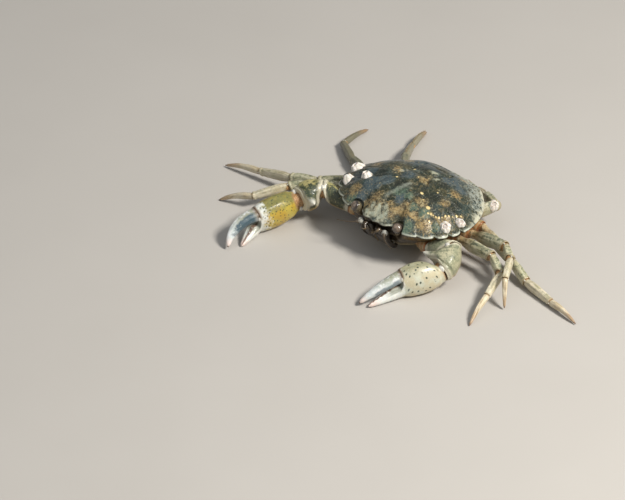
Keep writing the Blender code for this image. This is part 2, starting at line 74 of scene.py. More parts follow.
# The underside of the shell's rim: part of the way to the rim, then how far below its edge, in mm.
RIM_UNDERSIDE = ((0.5, 1.35), (0.8, 1.4), (0.9, 1.3), (0.95, 1.1), (0.98, 0.9), (0.995, 0.72), (1.002, 0.45))

BELLY = 4.8
WALL_ROWS = 46
BELLY_ROWS = 30
# Level, 1 under the carapace and 0 at the belly, then how far out the sides, front and back are there.
UNDERSIDE = (
    (1.0, 0.9, 0.93, 0.93),
    (0.72, 0.82, 0.92, 0.88),
    (0.44, 0.6, 0.88, 0.8),
    (0.17, 0.5, 0.76, 0.66),
    (0.0, 0.38, 0.55, 0.45),
)

EYE_RADIUS = 2.2
EYE = np.array((0.178 * WIDTH, FRONT + 0.042 * WIDTH, EDGE_HEIGHT + 0.3))
EYE_CLEARANCE = 0.8
GAZE = (0.45, -0.72, 0.55)
STALK_DIRECTION = (-0.3, 0.35, -0.89)
EYE_SOCKET = EYE_RADIUS + 1.6
ANTENNA_FOOT = (0.098 * WIDTH, FRONT + 0.7, EDGE_HEIGHT - 3.2)
ANTENNA_ELBOW = (2.2, -4.2, -0.2)
ANTENNA_TIP = (8.5, -5.2, -0.8)
# Part of the length, then width.
ANTENNA_WIDTHS = (
    (0, 2.1), (0.09, 1.9), (0.1, 1.4), (0.17, 1.5), (0.18, 1.1), (0.25, 0.9), (0.27, 0.55), (1, 0.25),
)
# Widths along the tail flap and the two plates of a maxilliped, and how far each bulges.
ABDOMEN_WIDTHS = (12, 12, 11.7, 11, 9.5, 8, 6.4, 5, 2.4)
ABDOMEN_GROOVES = (0.8, 1.6, 2.4, 5.2, 6.4, 7.3)
ABDOMEN_RISE = 1.775
ENDOPOD_WIDTHS = (4.6, 5.4, 5.4, 5, 3.6)
ENDOPOD_X = 2.85
EXOPOD_WIDTHS = (1.3, 1.5, 1.5, 1.4, 0.9)
EXOPOD_X = 6.3
MOUTH_RISE = 1.4
PALP = ((4.4, -1.3, -0.4), (2.6, -2.0, 0.3), (1.0, -1.7, -3.4))
ANTENNULE = ((0, 0, 0), (0.4, -1.9, -0.1), (-1.2, -2.3, -1.3))
ANTENNULE_WHIP = ((0, 0, 0), (-0.4, -0.6, 0.2), (0.6, -1.9, 0.9))
STERNITES = (-7.5, -3.5, 1.5, 6.5, 11.0)
LONG_SETAE = 0.9
SHORT_SETAE = 0.55
SETA_WIDTH = 0.09
HAIR_CORNERS = (0, 2.1, 4.2)
HAIR_TAPER = (1.0, 0.75, 0.15)

# Profiles: part of the length, then height and width in mm.
MERUS = ((0, 3.2, 2.8), (0.16, 3.4, 2.9), (0.3, 4.9, 3.3), (0.6, 5.4, 3.4), (0.88, 4.8, 3.3), (1, 4.4, 3.4))
CARPUS = ((0, 3.3, 2.7), (0.3, 4.2, 3.2), (0.75, 4.5, 3.4), (1, 4.1, 3.3))
PROPODUS = ((0, 3.1, 2.6), (0.2, 3.8, 2.9), (0.7, 3.6, 2.7), (1, 3.1, 2.6))
DACTYLUS = ((0, 2.5, 2.2), (0.15, 2.8, 2.2), (0.45, 2.3, 1.8), (0.8, 1.4, 1.2), (1, 0.8, 0.7))
PADDLE_PROPODUS = ((0, 3.1, 2.4), (0.25, 4.6, 2.5), (0.7, 4.5, 2.3), (1, 3.3, 2.1))
PADDLE_DACTYLUS = ((0, 2.6, 1.8), (0.2, 3.6, 1.9), (0.5, 3.4, 1.6), (0.82, 1.9, 1.1), (1, 0.8, 0.7))
SEGMENTS = ("merus", "carpus", "propodus", "dactylus")
LEG_PROFILES = {
    False: (MERUS, CARPUS, PROPODUS, DACTYLUS),
    True: (MERUS, CARPUS, PADDLE_PROPODUS, PADDLE_DACTYLUS),
}
DACTYLUS_BOW = 0.9
SECTION_POWER = 2.3
MITRE_LIMIT = 1.15
LEG_SIDES = 40
LEG_ROWS = 26
LEG_ROWS_PER_MM = 2.2
COXA_ROWS = 34
COARSE_GRAIN = 0.07
FINE_GRAIN = 0.05
# How far each shell is cut back on the inside of a bend.
COXA_OPEN = 0.5
LEG_OPEN = 0.7
CLAW_OPEN = {"merus": 1.2, "carpus": 1.3, "palm": 1.4}
END_REACH = 20.0  # the farthest that the mark "end" counts from a tube's end, in mm
COXA_HEIGHT = 9.5
ROOT_HEIGHT = 8.5
# Where each limb starts inside the body and where its first joint is, across and back in mm.
LEG_ROOTS = {2: (12, 1), 3: (12, 6), 4: (11, 10.5), 5: (7, 12.5)}
LEG_BASES = {2: (24, 3), 3: (25, 9), 4: (25, 15.5), 5: (16.5, 18.5)}
LEG_COXA = (5.2, 4.6)
# Skin and knobs of a limb's joints: the joint's number from the body out, then height and width. Skin
# can have how far it reaches and what part of the size it fills, and knobs have their radius.
LEG_MEMBRANES = ((1, (3.9, 3.4)), (2, (3.9, 3.1)), (3, (3.6, 2.9)), (4, (2.9, 2.4)))
LEG_CONDYLES = ((2, (4.2, 3.3), 0.36), (3, (3.8, 3.1), 0.36), (4, (2.9, 2.5), 0.36))
# Each segment's length in mm, then its heading from straight out to the side and its slope, in degrees.
LEG_POSES = {
    ("left", 2): ((17.1, 1, 0), (8.7, -25, -18), (12.7, -71, -10), (15.1, -73, -16)),
    ("left", 3): ((17.2, 2, 6), (7.2, -34, -9), (12.3, -56, -2), (10.7, -48, -56)),
    ("left", 4): ((20, -13, -13), (12, -19, -11), (14.8, -10, -3), (14.8, -10, -5)),
    ("left", 5): ((11.5, 79, 1), (8.4, 158, -8), (11.6, 158, -20), (12.6, 150, -19)),
    ("right", 2): ((19.8, -33, -3), (10.4, -42, -2), (13.9, -57, -10), (15.2, -21, -21)),
    ("right", 3): ((21.9, -35, -5), (11.3, -23, -5), (15, -9, -10), (16.7, -10, -11)),
    ("right", 4): ((14.2, 8, -19), (10.4, 20, -8), (14.7, 31, -5), (16.3, 82, -6)),
    ("right", 5): ((14.3, 41, -10), (9.3, 48, -9), (12.8, 58, -14), (14.9, 70, -7)),
}
CLAW_ROOT = (9, -4)
CLAW_BASE = (20.5, -9)
CLAW_COXA = (6.2, 5.6)
CLAW_MEMBRANES = ((1, (5.0, 4.4), 1.6, 0.84), (2, (6.6, 6.0), 2.0, 0.86), (3, (7.0, 6.4), 2.0, 0.86))
CLAW_CONDYLES = ((2, (7.0, 6.3), 1.3), (3, (7.2, 6.4), 1.5))
HINGE_KNOB = (0.75, 1.0, 1.0)
CLAW_POSES = {
    "left": ((10, 11, 16), (9.9, -73, -28), (15.5, -118, -6.5)),
    "right": ((12.3, -12, 15.2), (11, -52, -21), (18.3, -75, -9)),
}
CLAW_LEAN = {"left": 0, "right": 18}
CLAW_SIZE = {"left": 1.0, "right": 1.05}
DACTYLUS_ARCH = {"left": (0, 0.5, 1.2), "right": (4, 2.5, 2.5)}
FINGER_TIPS = {
    "left": {"dactylus": (-6.3, 16, -4.3), "pollex": (-3, 14.4, -4.9)},
    "right": {"dactylus": (-0.8, 15.9, -4.5), "pollex": (-3, 11, -5.3)},
}
CLAW_MERUS = ((0, 5, 4.4), (0.25, 6.4, 5.2), (0.7, 7.6, 6.2), (1, 7.2, 6.4))
CLAW_CARPUS = ((0, 6.4, 6), (0.25, 9.6, 9.6), (0.6, 11, 11), (0.85, 10, 10), (1, 7.4, 7.4))
PALM = ((0, 6.6, 5.8), (0.12, 9.6, 7.6), (0.35, 12, 9.2), (0.66, 12.6, 9.6), (0.85, 12, 8.9), (1, 10.9, 7.8))
POLLEX_BASE = (6.1, 6.6)
DACTYLUS_BASE = (4.4, 5.2)
POLLEX_INSET = 0.25
DACTYLUS_INSET = 0.1
DACTYLUS_DEPTH = 0.9
FINGER_TIP = (1.2, 1.1)
CARPAL_SPINE = 3.8
SPINE_DIRECTION = (-1, -0.35, 0.25)
SPINE_PLACE = 0.6
SPINE_WIDTH = 3.4
TOOTH_SPACING = 1.9
TOOTH_HEIGHT = 0.62
POLLEX_SAG = (0, 0, -0.4)
POLLEX_TAPER = 1.1
DACTYLUS_TAPER = 2.1
CLAW_MERUS_GRID = (64, 50)  # sides and rows
CLAW_CARPUS_GRID = (96, 66)
PALM_SIDES = 96
PALM_ROWS = 84
POLLEX_ROWS = 80
BRIDGE_ROWS = 24
BRIDGE_REACH = 22  # rows of the fixed finger that the palm's end takes in
# Across and back, in shell widths, then width in mm.
BARNACLES = (
    (-0.434, 0.01, 6.2),
    (-0.4, -0.11, 5.0),
    (-0.27, -0.08, 4.8),
    (0.41, -0.083, 5.0),
    (0.446, 0.019, 3.9),
)
LEG_BARNACLE = 4.6
LEG_BARNACLE_NODE = "leg5_left_merus"
LEG_BARNACLE_OUT = (0.55, -0.25, 0.8)
SIDES = {"left": 1, "right": -1}

# ---------------------------------------------------------------- tables: marks, colours, stage

# Swellings of the shell: height in mm, then across, back and their widths, all in shell widths.
SWELLINGS = (
    (0.6, 0.09, 0.16, 0.05, 0.07),
    (0.45, 0.0, 0.31, 0.06, 0.08),
    (0.35, 0.05, 0.39, 0.04, 0.035),
    (0.5, 0.0, 0.52, 0.06, 0.06),
    (0.25, 0.0, 0.66, 0.08, 0.05),
    (0.35, 0.27, 0.16, 0.07, 0.04),
    (0.5, 0.35, 0.29, 0.08, 0.045),
    (0.55, 0.25, 0.44, 0.09, 0.09),
    (0.35, 0.16, 0.62, 0.07, 0.07),
)
# Furrows between them: depth and width in mm, then their line across and back, in shell widths.
FURROWS = (
    (0.35, 0.9, ((0.0, 0.0), (0.0, 0.16))),
    (0.6, 1.0, ((0.42, 0.21), (0.31, 0.235), (0.2, 0.26), (0.13, 0.32), (0.1, 0.39))),
    (0.45, 0.8, ((0.1, 0.39), (0.05, 0.425), (0.0, 0.43))),
    (0.65, 0.8, ((0.085, 0.4), (0.075, 0.46), (0.09, 0.53), (0.11, 0.6))),
    (0.3, 0.8, ((0.14, 0.08), (0.15, 0.17), (0.12, 0.28), (0.05, 0.36))),
    (0.3, 0.8, ((0.03, 0.2), (0.035, 0.27), (0.08, 0.33))),
    (0.3, 1.2, ((0.42, 0.36), (0.33, 0.37), (0.24, 0.34))),
    (0.3, 0.9, ((0.0, 0.6), (0.08, 0.61), (0.14, 0.55))),
)
# Colour patches on the shell: across, back from the tooth line, and radius, in mm.
PATCHES = {
    "ochre": (
        (-4.6, -11.8, 2.6), (-15.5, -11.8, 3.0), (2.5, -12.0, 1.8), (7.0, -11.8, 1.6), (10.5, -11.4, 1.6),
        (14.0, -10.6, 2.2), (19.5, -10.5, 3.4), (4.2, 5.2, 2.6), (18.4, 1.6, 2.4), (17.0, 9.0, 2.6),
        (23.6, -3.6, 2.2), (-8.5, 4.0, 2.2), (-19.0, 4.0, 2.6), (-12.0, 14.0, 2.2), (9.5, 22.0, 2.2),
        (12.0, -4.5, 3.0), (-1.0, -13.4, 1.8), (-7.6, -14.2, 1.6), (-5.0, -13.4, 2.6), (8.5, -9.5, 2.2),
        (5.0, -13.6, 2.0),
    ),
    "slate": (
        (-10.3, -7.5, 5.0), (-11.5, -13.6, 3.4), (-6.8, -4.0, 4.0), (4.4, -8.0, 3.0), (9.6, 14.3, 4.6),
        (-8.8, 16.6, 7.0), (-18.0, 10.0, 5.0), (-4.0, 24.0, 5.0), (15.0, 14.0, 3.0), (-2.0, 3.0, 3.4),
        (-20.0, -6.0, 4.4), (6.0, 22.0, 4.0), (-16.0, -2.0, 3.6),
    ),
    "teal": (
        (16.5, -8.0, 2.8), (11.6, -8.4, 2.4), (14.4, -14.6, 2.8), (6.6, -6.0, 2.2), (22.5, -8.6, 2.2),
        (-14.4, -14.6, 2.4), (2.2, -5.8, 3.0),
    ),
    "black": (
        (14.0, 0.4, 3.2), (21.8, 1.2, 2.4), (20.8, 5.4, 2.4), (9.4, -3.0, 1.8), (-12.0, -1.0, 3.2),
        (-22.0, 1.0, 2.6), (11.4, 8.6, 2.6), (0.0, -3.0, 3.0), (-3.0, 10.5, 3.4), (-20.6, -9.3, 2.4),
    ),
    "pale": (
        (-3.6, -14.6, 1.5), (-0.6, -15.6, 2.6), (2.6, -16.4, 2.6), (-3.6, -17.0, 2.0), (1.6, -13.2, 1.6),
        (2.8, 12.4, 1.6), (6.2, 9.4, 1.4),
    ),
}
# The small yellow growths, in the same way, then the curve that a row of them follows.
GROWTHS = (
    (15.7, -4.8, 0.9), (17.3, -6.6, 0.45), (9.2, -1.4, 0.7), (-3.8, 8.3, 0.75), (-4.4, -0.7, 0.5),
    (11.8, -3.4, 0.35), (2.0, 4.4, 0.4), (13.2, 3.0, 0.35), (19.6, -8.4, 0.4),
)
GROWTH_ROW = ((18.2, -6.0), (22.6, -5.0), (24.9, 3.4))
ROW_COUNT = 10
# Coloured lines on the shell: strength, width in mm, and the line.
LINES = {
    "streak": (
        (1.0, 1.3, ((-1.2, -9.8), (2.4, -1.0))),
        (0.8, 1.2, ((-9.0, 3.0), (-2.0, 8.5))),
        (0.6, 1.0, ((3.0, -2.0), (8.5, -3.4))),
    ),
    "gold": (
        (1.0, 1.3, ((4.6, -11.9), (14.6, -11.3), (19.0, -11.7))),
        (0.8, 1.3, GROWTH_ROW),
    ),
}
# A barnacle from its foot up and in: height in widths, part of its radius, and how ribbed it is.
BARNACLE_PROFILE = (
    (-0.3, 1.02, 1), (0.0, 1.0, 1), (0.08, 0.89, 1), (0.16, 0.77, 1), (0.24, 0.65, 1), (0.31, 0.53, 1),
    (0.34, 0.46, 0.6), (0.33, 0.4, 0.3), (0.25, 0.37, 0.1), (0.2, 0.35, 0), (0.25, 0.3, 0),
    (0.28, 0.18, 0), (0.3, 0.06, 0),
)
BARNACLE_SIDES = 72
BARNACLE_CREASE = 40  # degrees, over which its edges are sharp

COAT_ROUGHNESS = 0.12
SUBSURFACE_RADIUS = (1.0, 0.6, 0.4)
# The gape's brown inner face, with painted shade between the teeth: its colour, masks and strength.
GAPE_BROWN_AND_SHADE = ((0.13, 0.07, 0.045), ("gape", 0.3, 0.8), ("tooth", 0.95, 0.5), 0.9)
# How strong the painted shade over a whole leg is, where it has one; partly the leg's own grey-green tone.
LEG_PAINTED_SHADES = {("right", 2): 0.15, ("right", 3): 0.3, ("right", 4): 1.2, ("right", 5): 1.0, ("left", 5): 0.3}
# The light, the second and the dark colour, the strength of the mottling, and of the tan near the body.
LEG_COLOURS = {
    "merus": ((0.44, 0.42, 0.29), (0.3, 0.29, 0.17), (0.055, 0.075, 0.045), 0.85, 0.6),
    "carpus": ((0.52, 0.5, 0.36), (0.4, 0.39, 0.25), (0.07, 0.1, 0.055), 0.75, 0.15),
    "propodus": ((0.6, 0.55, 0.42), (0.5, 0.45, 0.3), (0.17, 0.17, 0.1), 0.4, 0.1),
    "dactylus": ((0.64, 0.57, 0.42), (0.54, 0.45, 0.29), (0.2, 0.14, 0.08), 0.25, 0.0),
}
# The values of claw_arm_look, palm_look and finger_look.
CLAW_ARM_COLOURS = {
    "left": ((0.42, 0.4, 0.26), (0.27, 0.28, 0.18), (0.1, 0.12, 0.08), 0.2, 1, 0.8, 1.7),
    "right": ((0.46, 0.4, 0.17), (0.28, 0.27, 0.1), (0.014, 0.03, 0.018), 0.9, -1, 0.85, 2.3),
}
PALM_COLOURS = {
    "left": ((0.55, 0.57, 0.46), (0.53, 0.48, 0.33), (0.29, 0.28, 0.17), 2.5, 0.8, 0.92),
    "right": ((0.48, 0.38, 0.07), (0.46, 0.3, 0.035), (0.15, 0.16, 0.06), 1.6, 0.5, 0.74),
}
FINGER_STRIPES = {"left": (0.28, 0.75, 2.0), "right": (1.2, 0.95, -0.1)}

AIM = (-19.66, -30.46, 0.0)  # the ground point in the middle of the picture, in mm
AZIMUTH = 44.5
ELEVATION = 34.0
DISTANCE = 1.8
LENS = 274.75
SENSOR = 36.0
# Name, azimuth, elevation, distance, size, power and colour.
LAMPS = (
    ("key", 100, 48, 1.0, 0.2, 14.0, (1.0, 0.96, 0.9)),
    ("fill", -10, 40, 1.2, 0.9, 1.7, (0.92, 0.96, 1.0)),
    ("top", 40, 85, 1.1, 0.9, 1.6, (1.0, 1.0, 1.0)),
)
SKY = (0.85, 0.88, 0.92, 1)
SKY_STRENGTH = 0.24
CLIP_START = 0.05
FLOOR_REACH = 3.0

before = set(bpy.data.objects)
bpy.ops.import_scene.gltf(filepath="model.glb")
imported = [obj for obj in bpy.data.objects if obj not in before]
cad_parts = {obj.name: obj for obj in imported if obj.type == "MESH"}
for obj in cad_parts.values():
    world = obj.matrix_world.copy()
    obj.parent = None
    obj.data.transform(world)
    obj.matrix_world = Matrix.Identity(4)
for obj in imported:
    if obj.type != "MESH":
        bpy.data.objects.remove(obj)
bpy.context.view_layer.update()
SHIFT = np.array((
    (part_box("abdomen")[0].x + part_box("abdomen")[1].x) / 2 / MM,
    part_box("carapace")[0].y / MM - FRONT,
    0.0,
))


# ---------------------------------------------------------------- small maths


def unit(vector):
    vector = np.asarray(vector, float)
    return vector / np.linalg.norm(vector, axis=-1, keepdims=True)


def mirrored(point, side):
    """A point of the crab's left half, or with side -1 its twin in the right half."""
    return np.array(point, float) * (side, 1, 1)


def pointing(turn, rise):
    """The direction at an angle from +X towards +Y and at an angle up, in degrees."""
    turn, rise = math.radians(turn), math.radians(rise)
    return np.array((math.cos(turn) * math.cos(rise), math.sin(turn) * math.cos(rise), math.sin(rise)))


def circle(sides):
    """The angle of each point round a section."""
    return 2 * math.pi * np.arange(sides) / sides


def ease(value, low=0.0, high=1.0):
    """0 below low, 1 above high, and smooth between them."""
    part = np.clip((np.asarray(value, float) - low) / (high - low), 0, 1)
    return part * part * (3 - 2 * part)


def bell(distance, width):
    return np.exp(-((np.asarray(distance, float) / width) ** 2))


def bezier(start, middle, end, count):
    part = np.linspace(0, 1, count)[:, None]
    start, middle, end = (np.asarray(p, float) for p in (start, middle, end))
    return (1 - part) ** 2 * start + 2 * part * (1 - part) * middle + part**2 * end


def spline(knots, values, at):
    """A smooth curve through the values given at the knots."""
    knots = np.asarray(knots, float)
    values = np.asarray(values, float).reshape(len(knots), -1)
    slopes = np.gradient(values, knots, axis=0)
    at = np.clip(np.asarray(at, float), knots[0], knots[-1])
    i = np.clip(np.searchsorted(knots, at, side="right") - 1, 0, len(knots) - 2)
    span = (knots[i + 1] - knots[i])[:, None]
    t = (at - knots[i])[:, None] / span
    near = (2 * t**3 - 3 * t**2 + 1) * values[i] + (t**3 - 2 * t**2 + t) * span * slopes[i]
    far = (3 * t**2 - 2 * t**3) * values[i + 1] + (t**3 - t**2) * span * slopes[i + 1]
    return near + far


def evenly(values, count):
    """A smooth curve of count points through values that are one step apart."""
    return spline(np.arange(len(values)), values, np.linspace(0, len(values) - 1, count))


def run_of(points):
    """The distance along a line of points, from its start to each of them."""
    return np.concatenate(([0], np.cumsum(np.linalg.norm(np.diff(points, axis=0), axis=1))))


def resample(points, count):
    """The same line with its points spaced evenly, both ends kept."""
    points = np.asarray(points, float)
    run = run_of(points)
    at = np.linspace(0, run[-1], count)
    return np.stack([np.interp(at, run, column) for column in points.T], axis=1)


def grain(points, size, seed=0.0):
    """Smooth noise, about -1 to 1, at each point, with features of this size."""
    flat = points.reshape(-1, 3) / size + seed
    return np.array([noise.noise(Vector(p)) for p in flat]).reshape(points.shape[:-1])


# ---------------------------------------------------------------- surfaces


class Surface:
    """Points and faces of one piece, with named marks on each point that its material reads."""

    def __init__(self, *grid_and_marks):
        self.points = []
        self.marks = []
        self.faces = []
        if grid_and_marks:
            self.add(*grid_and_marks)

    def add(self, grid, marks=None):
        """Adds a tube: rings of points, joined in turn and closed at both ends."""
        rows, sides = grid.shape[:2]
        index = np.arange(rows * sides).reshape(rows, sides)
        turned = np.roll(index, -1, axis=1)
        quads = np.stack([index[:-1], turned[:-1], turned[1:], index[1:]], axis=-1).reshape(-1, 4)
        caps = np.concatenate([
            np.stack([turned[0], index[0], np.full(sides, rows * sides)], axis=1),
            np.stack([index[-1], turned[-1], np.full(sides, rows * sides + 1)], axis=1),
        ])

        def flat(values):
            """One value for each point of the grid, then the mean of each end ring for its cap."""
            return np.concatenate([values.reshape(-1, *values.shape[2:]), values[[0, -1]].mean(axis=1)])

        points = flat(grid)
        corners = np.concatenate([quads[:, [0, 1, 2]], quads[:, [0, 2, 3]], caps])
        if np.linalg.det(points[corners]).sum() < 0:
            quads, caps = quads[:, ::-1], caps[:, ::-1]
        count = sum(len(part) for part in self.points)
        self.faces += (quads + count).tolist() + (caps + count).tolist()
        self.points.append(points)
        flat_marks = {}
        for name, values in (marks or {}).items():
            values = np.asarray(values, float)
            flat_marks[name] = flat(np.broadcast_to(values, (rows, sides, *values.shape[2:])))
        self.marks.append(flat_marks)


def make(name, surface, material, nodes=(), sharp=None):
    """The object of one piece, riding on the body and standing for its CAD nodes."""
    mesh = bpy.data.meshes.new(name)
    points = np.concatenate(surface.points)
    points[:, 2] = np.maximum(points[:, 2], 0.0)
    mesh.from_pydata(((points + SHIFT) * MM).tolist(), [], surface.faces)
    shapes = {mark: values.shape[1:] for marks in surface.marks for mark, values in marks.items()}
    for mark, shape in shapes.items():
        parts = zip(surface.points, surface.marks)
        values = np.concatenate([marks.get(mark, np.zeros((len(part), *shape))) for part, marks in parts])
        kind, field = ("FLOAT_VECTOR", "vector") if shape else ("FLOAT", "value")
        attribute = mesh.attributes.new(mark, kind, "POINT")
        attribute.data.foreach_set(field, values.astype(np.float32).ravel())
    mesh.shade_smooth()
    if sharp:
        mesh.set_sharp_from_angle(angle=math.radians(sharp))
    mesh.materials.append(material)
    piece = bpy.data.objects.new(name, mesh)
    bpy.context.scene.collection.objects.link(piece)
    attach(piece, "root")
    if nodes:
        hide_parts(*nodes)


def shell(node, look, surface):
    """The piece that stands for one CAD node."""
    make(f"{node}_shell", surface, look, [node])


# ---------------------------------------------------------------- materials


def times(colour, factor, most=2.0):
    return tuple(min(most, factor * channel) for channel in colour)


class Look:
    """A node material under construction. Lengths are in millimetres.

    A value is a node's output, a number, the name of a mark, or (value, low, high) for a smooth step.
    """

    def __init__(self, name, roughness, coat=0.0, subsurface=0.0):
        self.material = bpy.data.materials.new(name)
        self.material.use_nodes = True
        self.tree = self.material.node_tree
        self.shader = self.tree.nodes["Principled BSDF"]
        inputs = {
            "Roughness": roughness,
            "Coat Weight": coat,
            "Coat Roughness": COAT_ROUGHNESS,
            "Subsurface Weight": subsurface,
            "Subsurface Radius": SUBSURFACE_RADIUS,
            "Subsurface Scale": MM,
        }
        for socket, value in inputs.items():
            self.shader.inputs[socket].default_value = value
        place = self.node("ShaderNodeTexCoord", "Object", {})
        self.place = self.stretched(place, (1 / MM, 1 / MM, 1 / MM))

    def node(self, kind, output, inputs, **settings):
        """One output of a new node that has these inputs, by name or by number."""
        node = self.tree.nodes.new(kind)
        for setting, value in settings.items():
            setattr(node, setting, value)
        for socket, value in inputs.items():
            self.feed(node.inputs[socket], value)
        return node.outputs[output]

    def feed(self, socket, value):
        if isinstance(value, str):
            value = self.mark(value)
        if isinstance(value, tuple) and socket.type == "VALUE":
            value = self.step(*value)
        if isinstance(value, bpy.types.NodeSocket):
            self.tree.links.new(value, socket)
        else:
            socket.default_value = (*value, 1) if socket.type == "RGBA" else value

    def mark(self, name, output="Fac"):
        return self.node("ShaderNodeAttribute", output, {}, attribute_name=name)

    def stretched(self, vector, factors):
        return self.node("ShaderNodeVectorMath", 0, {0: vector, 1: factors}, operation="MULTIPLY")

    def noise(self, size, detail=3.0, rough=0.55, distortion=0.0, vector=None):
        inputs = {"Vector": vector or self.place, "Scale": 1 / size, "Detail": detail}
        inputs |= {"Roughness": rough, "Distortion": distortion}
        return self.node("ShaderNodeTexNoise", "Fac", inputs)

    def cells(self, size, feature="F1", vector=None, randomness=1.0, dimensions="3D"):
        inputs = {"Vector": vector or self.place, "Scale": 1 / size, "Randomness": randomness}
        settings = {"feature": feature, "voronoi_dimensions": dimensions}
        return self.node("ShaderNodeTexVoronoi", "Distance", inputs, **settings)

    def math(self, operation, *values):
        return self.node("ShaderNodeMath", 0, dict(enumerate(values)), operation=operation)

    def linear(self, value, factor, offset):
        return self.math("MULTIPLY_ADD", value, factor, offset)

    def both(self, first, *others):
        for other in others:
            first = self.math("MULTIPLY", first, other)
        return first

    def step(self, value, low, high):
        """0 below low, 1 above high, and smooth between them. high may be the smaller one."""
        inputs = {"Value": value, "From Min": min(low, high), "From Max": max(low, high)}
        inputs |= {"To Min": float(low > high), "To Max": float(low < high)}
        return self.node("ShaderNodeMapRange", "Result", inputs, interpolation_type="SMOOTHSTEP")

    def mix(self, part, a, b):
        return self.node("ShaderNodeMix", 2, {0: part, 6: a, 7: b}, data_type="RGBA")

    def paint(self, colour, *coats):
        """The colour with coats over it, each a colour and the values whose product is its strength."""
        for coat, *parts in coats:
            colour = self.mix(self.both(*parts), colour, coat)
        return colour

    def finish(self, colour, height=None, depth=0.1, roughness=None):
        """The material in this colour, with bumps of this depth if a height is given."""
        self.feed(self.shader.inputs["Base Color"], colour)
        if roughness is not None:
            self.feed(self.shader.inputs["Roughness"], roughness)
        if height is not None:
            inputs = {"Strength": 1.0, "Distance": depth * MM, "Height": height}
            self.feed(self.shader.inputs["Normal"], self.node("ShaderNodeBump", "Normal", inputs))
        return self.material


# ---------------------------------------------------------------- the carapace


def tooth_arc(back):
    """The point of the curve through the tooth tips, that far behind the front edge, in widths."""
    reach = abs(TOOTH_ARC_CENTRE - back) / (TOOTH_ARC_CENTRE + 0.01)
    return np.array((0.5 * (1 - reach**TOOTH_ARC_POWER) ** (1 / TOOTH_ARC_POWER), back))


def half_edge():
    """The left half of the edge, from the middle of the front to the middle of the back, in mm."""
    line = list(evenly(FRONT_LOBES, 40))
    tip, inner = tooth_arc(TOOTH_BACK[0]), np.array(FRONT_LOBES[-1])
    for part in np.linspace(0, 1, 24)[1:-1]:
        line.append(inner + (tip - inner) * part + (0, ORBIT_NOTCH * math.sin(math.pi * part)))
    for back, following in zip(TOOTH_BACK[:-1], TOOTH_BACK[1:]):
        tooth = [tooth_arc(back + part * (following - back)) + (out, 0) for part, out in TOOTH_OUTLINE]
        tooth.append(tooth_arc(following) - (TOOTH_NOTCH, 0.004))
        line += list(evenly(tooth, 16))
    line.append(tooth_arc(TOOTH_BACK[-1]))
    line += list(bezier(SHOULDER, FLANK, CORNER, 30))
    rear = (CORNER, (0.18, 0.778), REAR, (0.0, LENGTH / WIDTH))
    line += list(spline(np.arange(4), rear, np.linspace(0.2, 3, 16)))
    return resample(line, EDGE_SAMPLES + 1) * WIDTH + (0, FRONT)


def whole_edge():
    half = half_edge()
    return np.concatenate([half, half[-2:0:-1] * (-1, 1)])


def eased(outline, spread):
    """The closed outline with its teeth and notches smoothed away over a spread in mm."""
    step = np.linalg.norm(outline - np.roll(outline, 1, axis=0), axis=1).mean()
    shifts = np.arange(-int(3 * spread / step), int(3 * spread / step) + 1)
    weights = bell(shifts * step, spread)
    return sum(w * np.roll(outline, k, axis=0) for k, w in zip(shifts, weights / weights.sum()))


def edge_height(y):
    return EDGE_HEIGHT - EDGE_DROP * (np.maximum(0.0, y) / BACK) ** 1.4


def line_distance(x, y, line):
    """Distance from each point to a line of points, in the same units."""
    best = np.full(np.shape(x), 1e9)
    for (ax, ay), (bx, by) in zip(line[:-1], line[1:]):
        dx, dy = bx - ax, by - ay
        part = np.clip(((x - ax) * dx + (y - ay) * dy) / (dx * dx + dy * dy), 0, 1)
        best = np.minimum(best, np.hypot(x - ax - part * dx, y - ay - part * dy))
    return best


def relief(x, y, ring):
    """How far the real shell stands above the smooth dome, at each place and part of the way to the rim."""
    across, back = np.abs(x) / WIDTH, (y - FRONT) / WIDTH
    height = np.full(np.shape(x), -0.25)
    for rise, centre_x, centre_y, wide, long in SWELLINGS:
        height += rise * bell(np.hypot((across - centre_x) / wide, (back - centre_y) / long), 1.0)
    for depth, width, line in FURROWS:
        height -= depth * bell(line_distance(across, back, line) * WIDTH, width)
    rear = ease(back, 0.45, 0.7)
    from_rim = (1 - ring) * RIM_REACH
    rear_bead = 0.45 * bell(from_rim - 0.91, 0.45) - 0.35 * bell(from_rim - 1.95, 0.5)
    front_bead = 0.12 * bell(from_rim - 0.65, 0.4)
    return height * ease(1 - ring, 0.0, 0.12) + rear * rear_bead + (1 - rear) * front_bead


def upper_face(x, y, ring):
    return edge_height(y) + DOME * (1 - ring**DOME_POWER) + relief(x, y, ring)


def dome(x, y):
    """Height of the shell's upper face over a point."""
    rim_heading = np.arctan2(SMOOTH[:, 0], MIDDLE - SMOOTH[:, 1])
    order = np.argsort(rim_heading)
    rim_reach = np.hypot(SMOOTH[:, 0], SMOOTH[:, 1] - MIDDLE)
    heading = np.arctan2(x, MIDDLE - y)
    reach = np.interp(heading, rim_heading[order], rim_reach[order], period=2 * math.pi)
    return float(upper_face(x, y, min(1.0, math.hypot(x, y - MIDDLE) / reach)))


def clear_of_eyes(points, radius):
    """Points nearer to an eye than a radius moved out to it."""
    for side in SIDES.values():
        centre = mirrored(EYE, side)
        offset = points - centre
        distance = np.linalg.norm(offset, axis=-1, keepdims=True)
        moved = centre + offset * radius / np.maximum(distance, 1e-6)
        points = np.where(distance < radius, moved, points)
    return points


EDGE = whole_edge()
SMOOTH = eased(EDGE, SHELL_SPREAD)
BODY_EDGE = eased(EDGE, BODY_SPREAD)


def patch(x, y, spots):
    """How strongly each point lies in any of the patches."""
    return np.max([bell(np.hypot(x - spot_x, y - spot_y), size) for spot_x, spot_y, size in spots], axis=0)


def drawn(x, y, lines):
    """How strongly each point lies on any of the lines."""
    return np.max([part * bell(line_distance(x, y, line), wide) for part, wide, line in lines], axis=0)


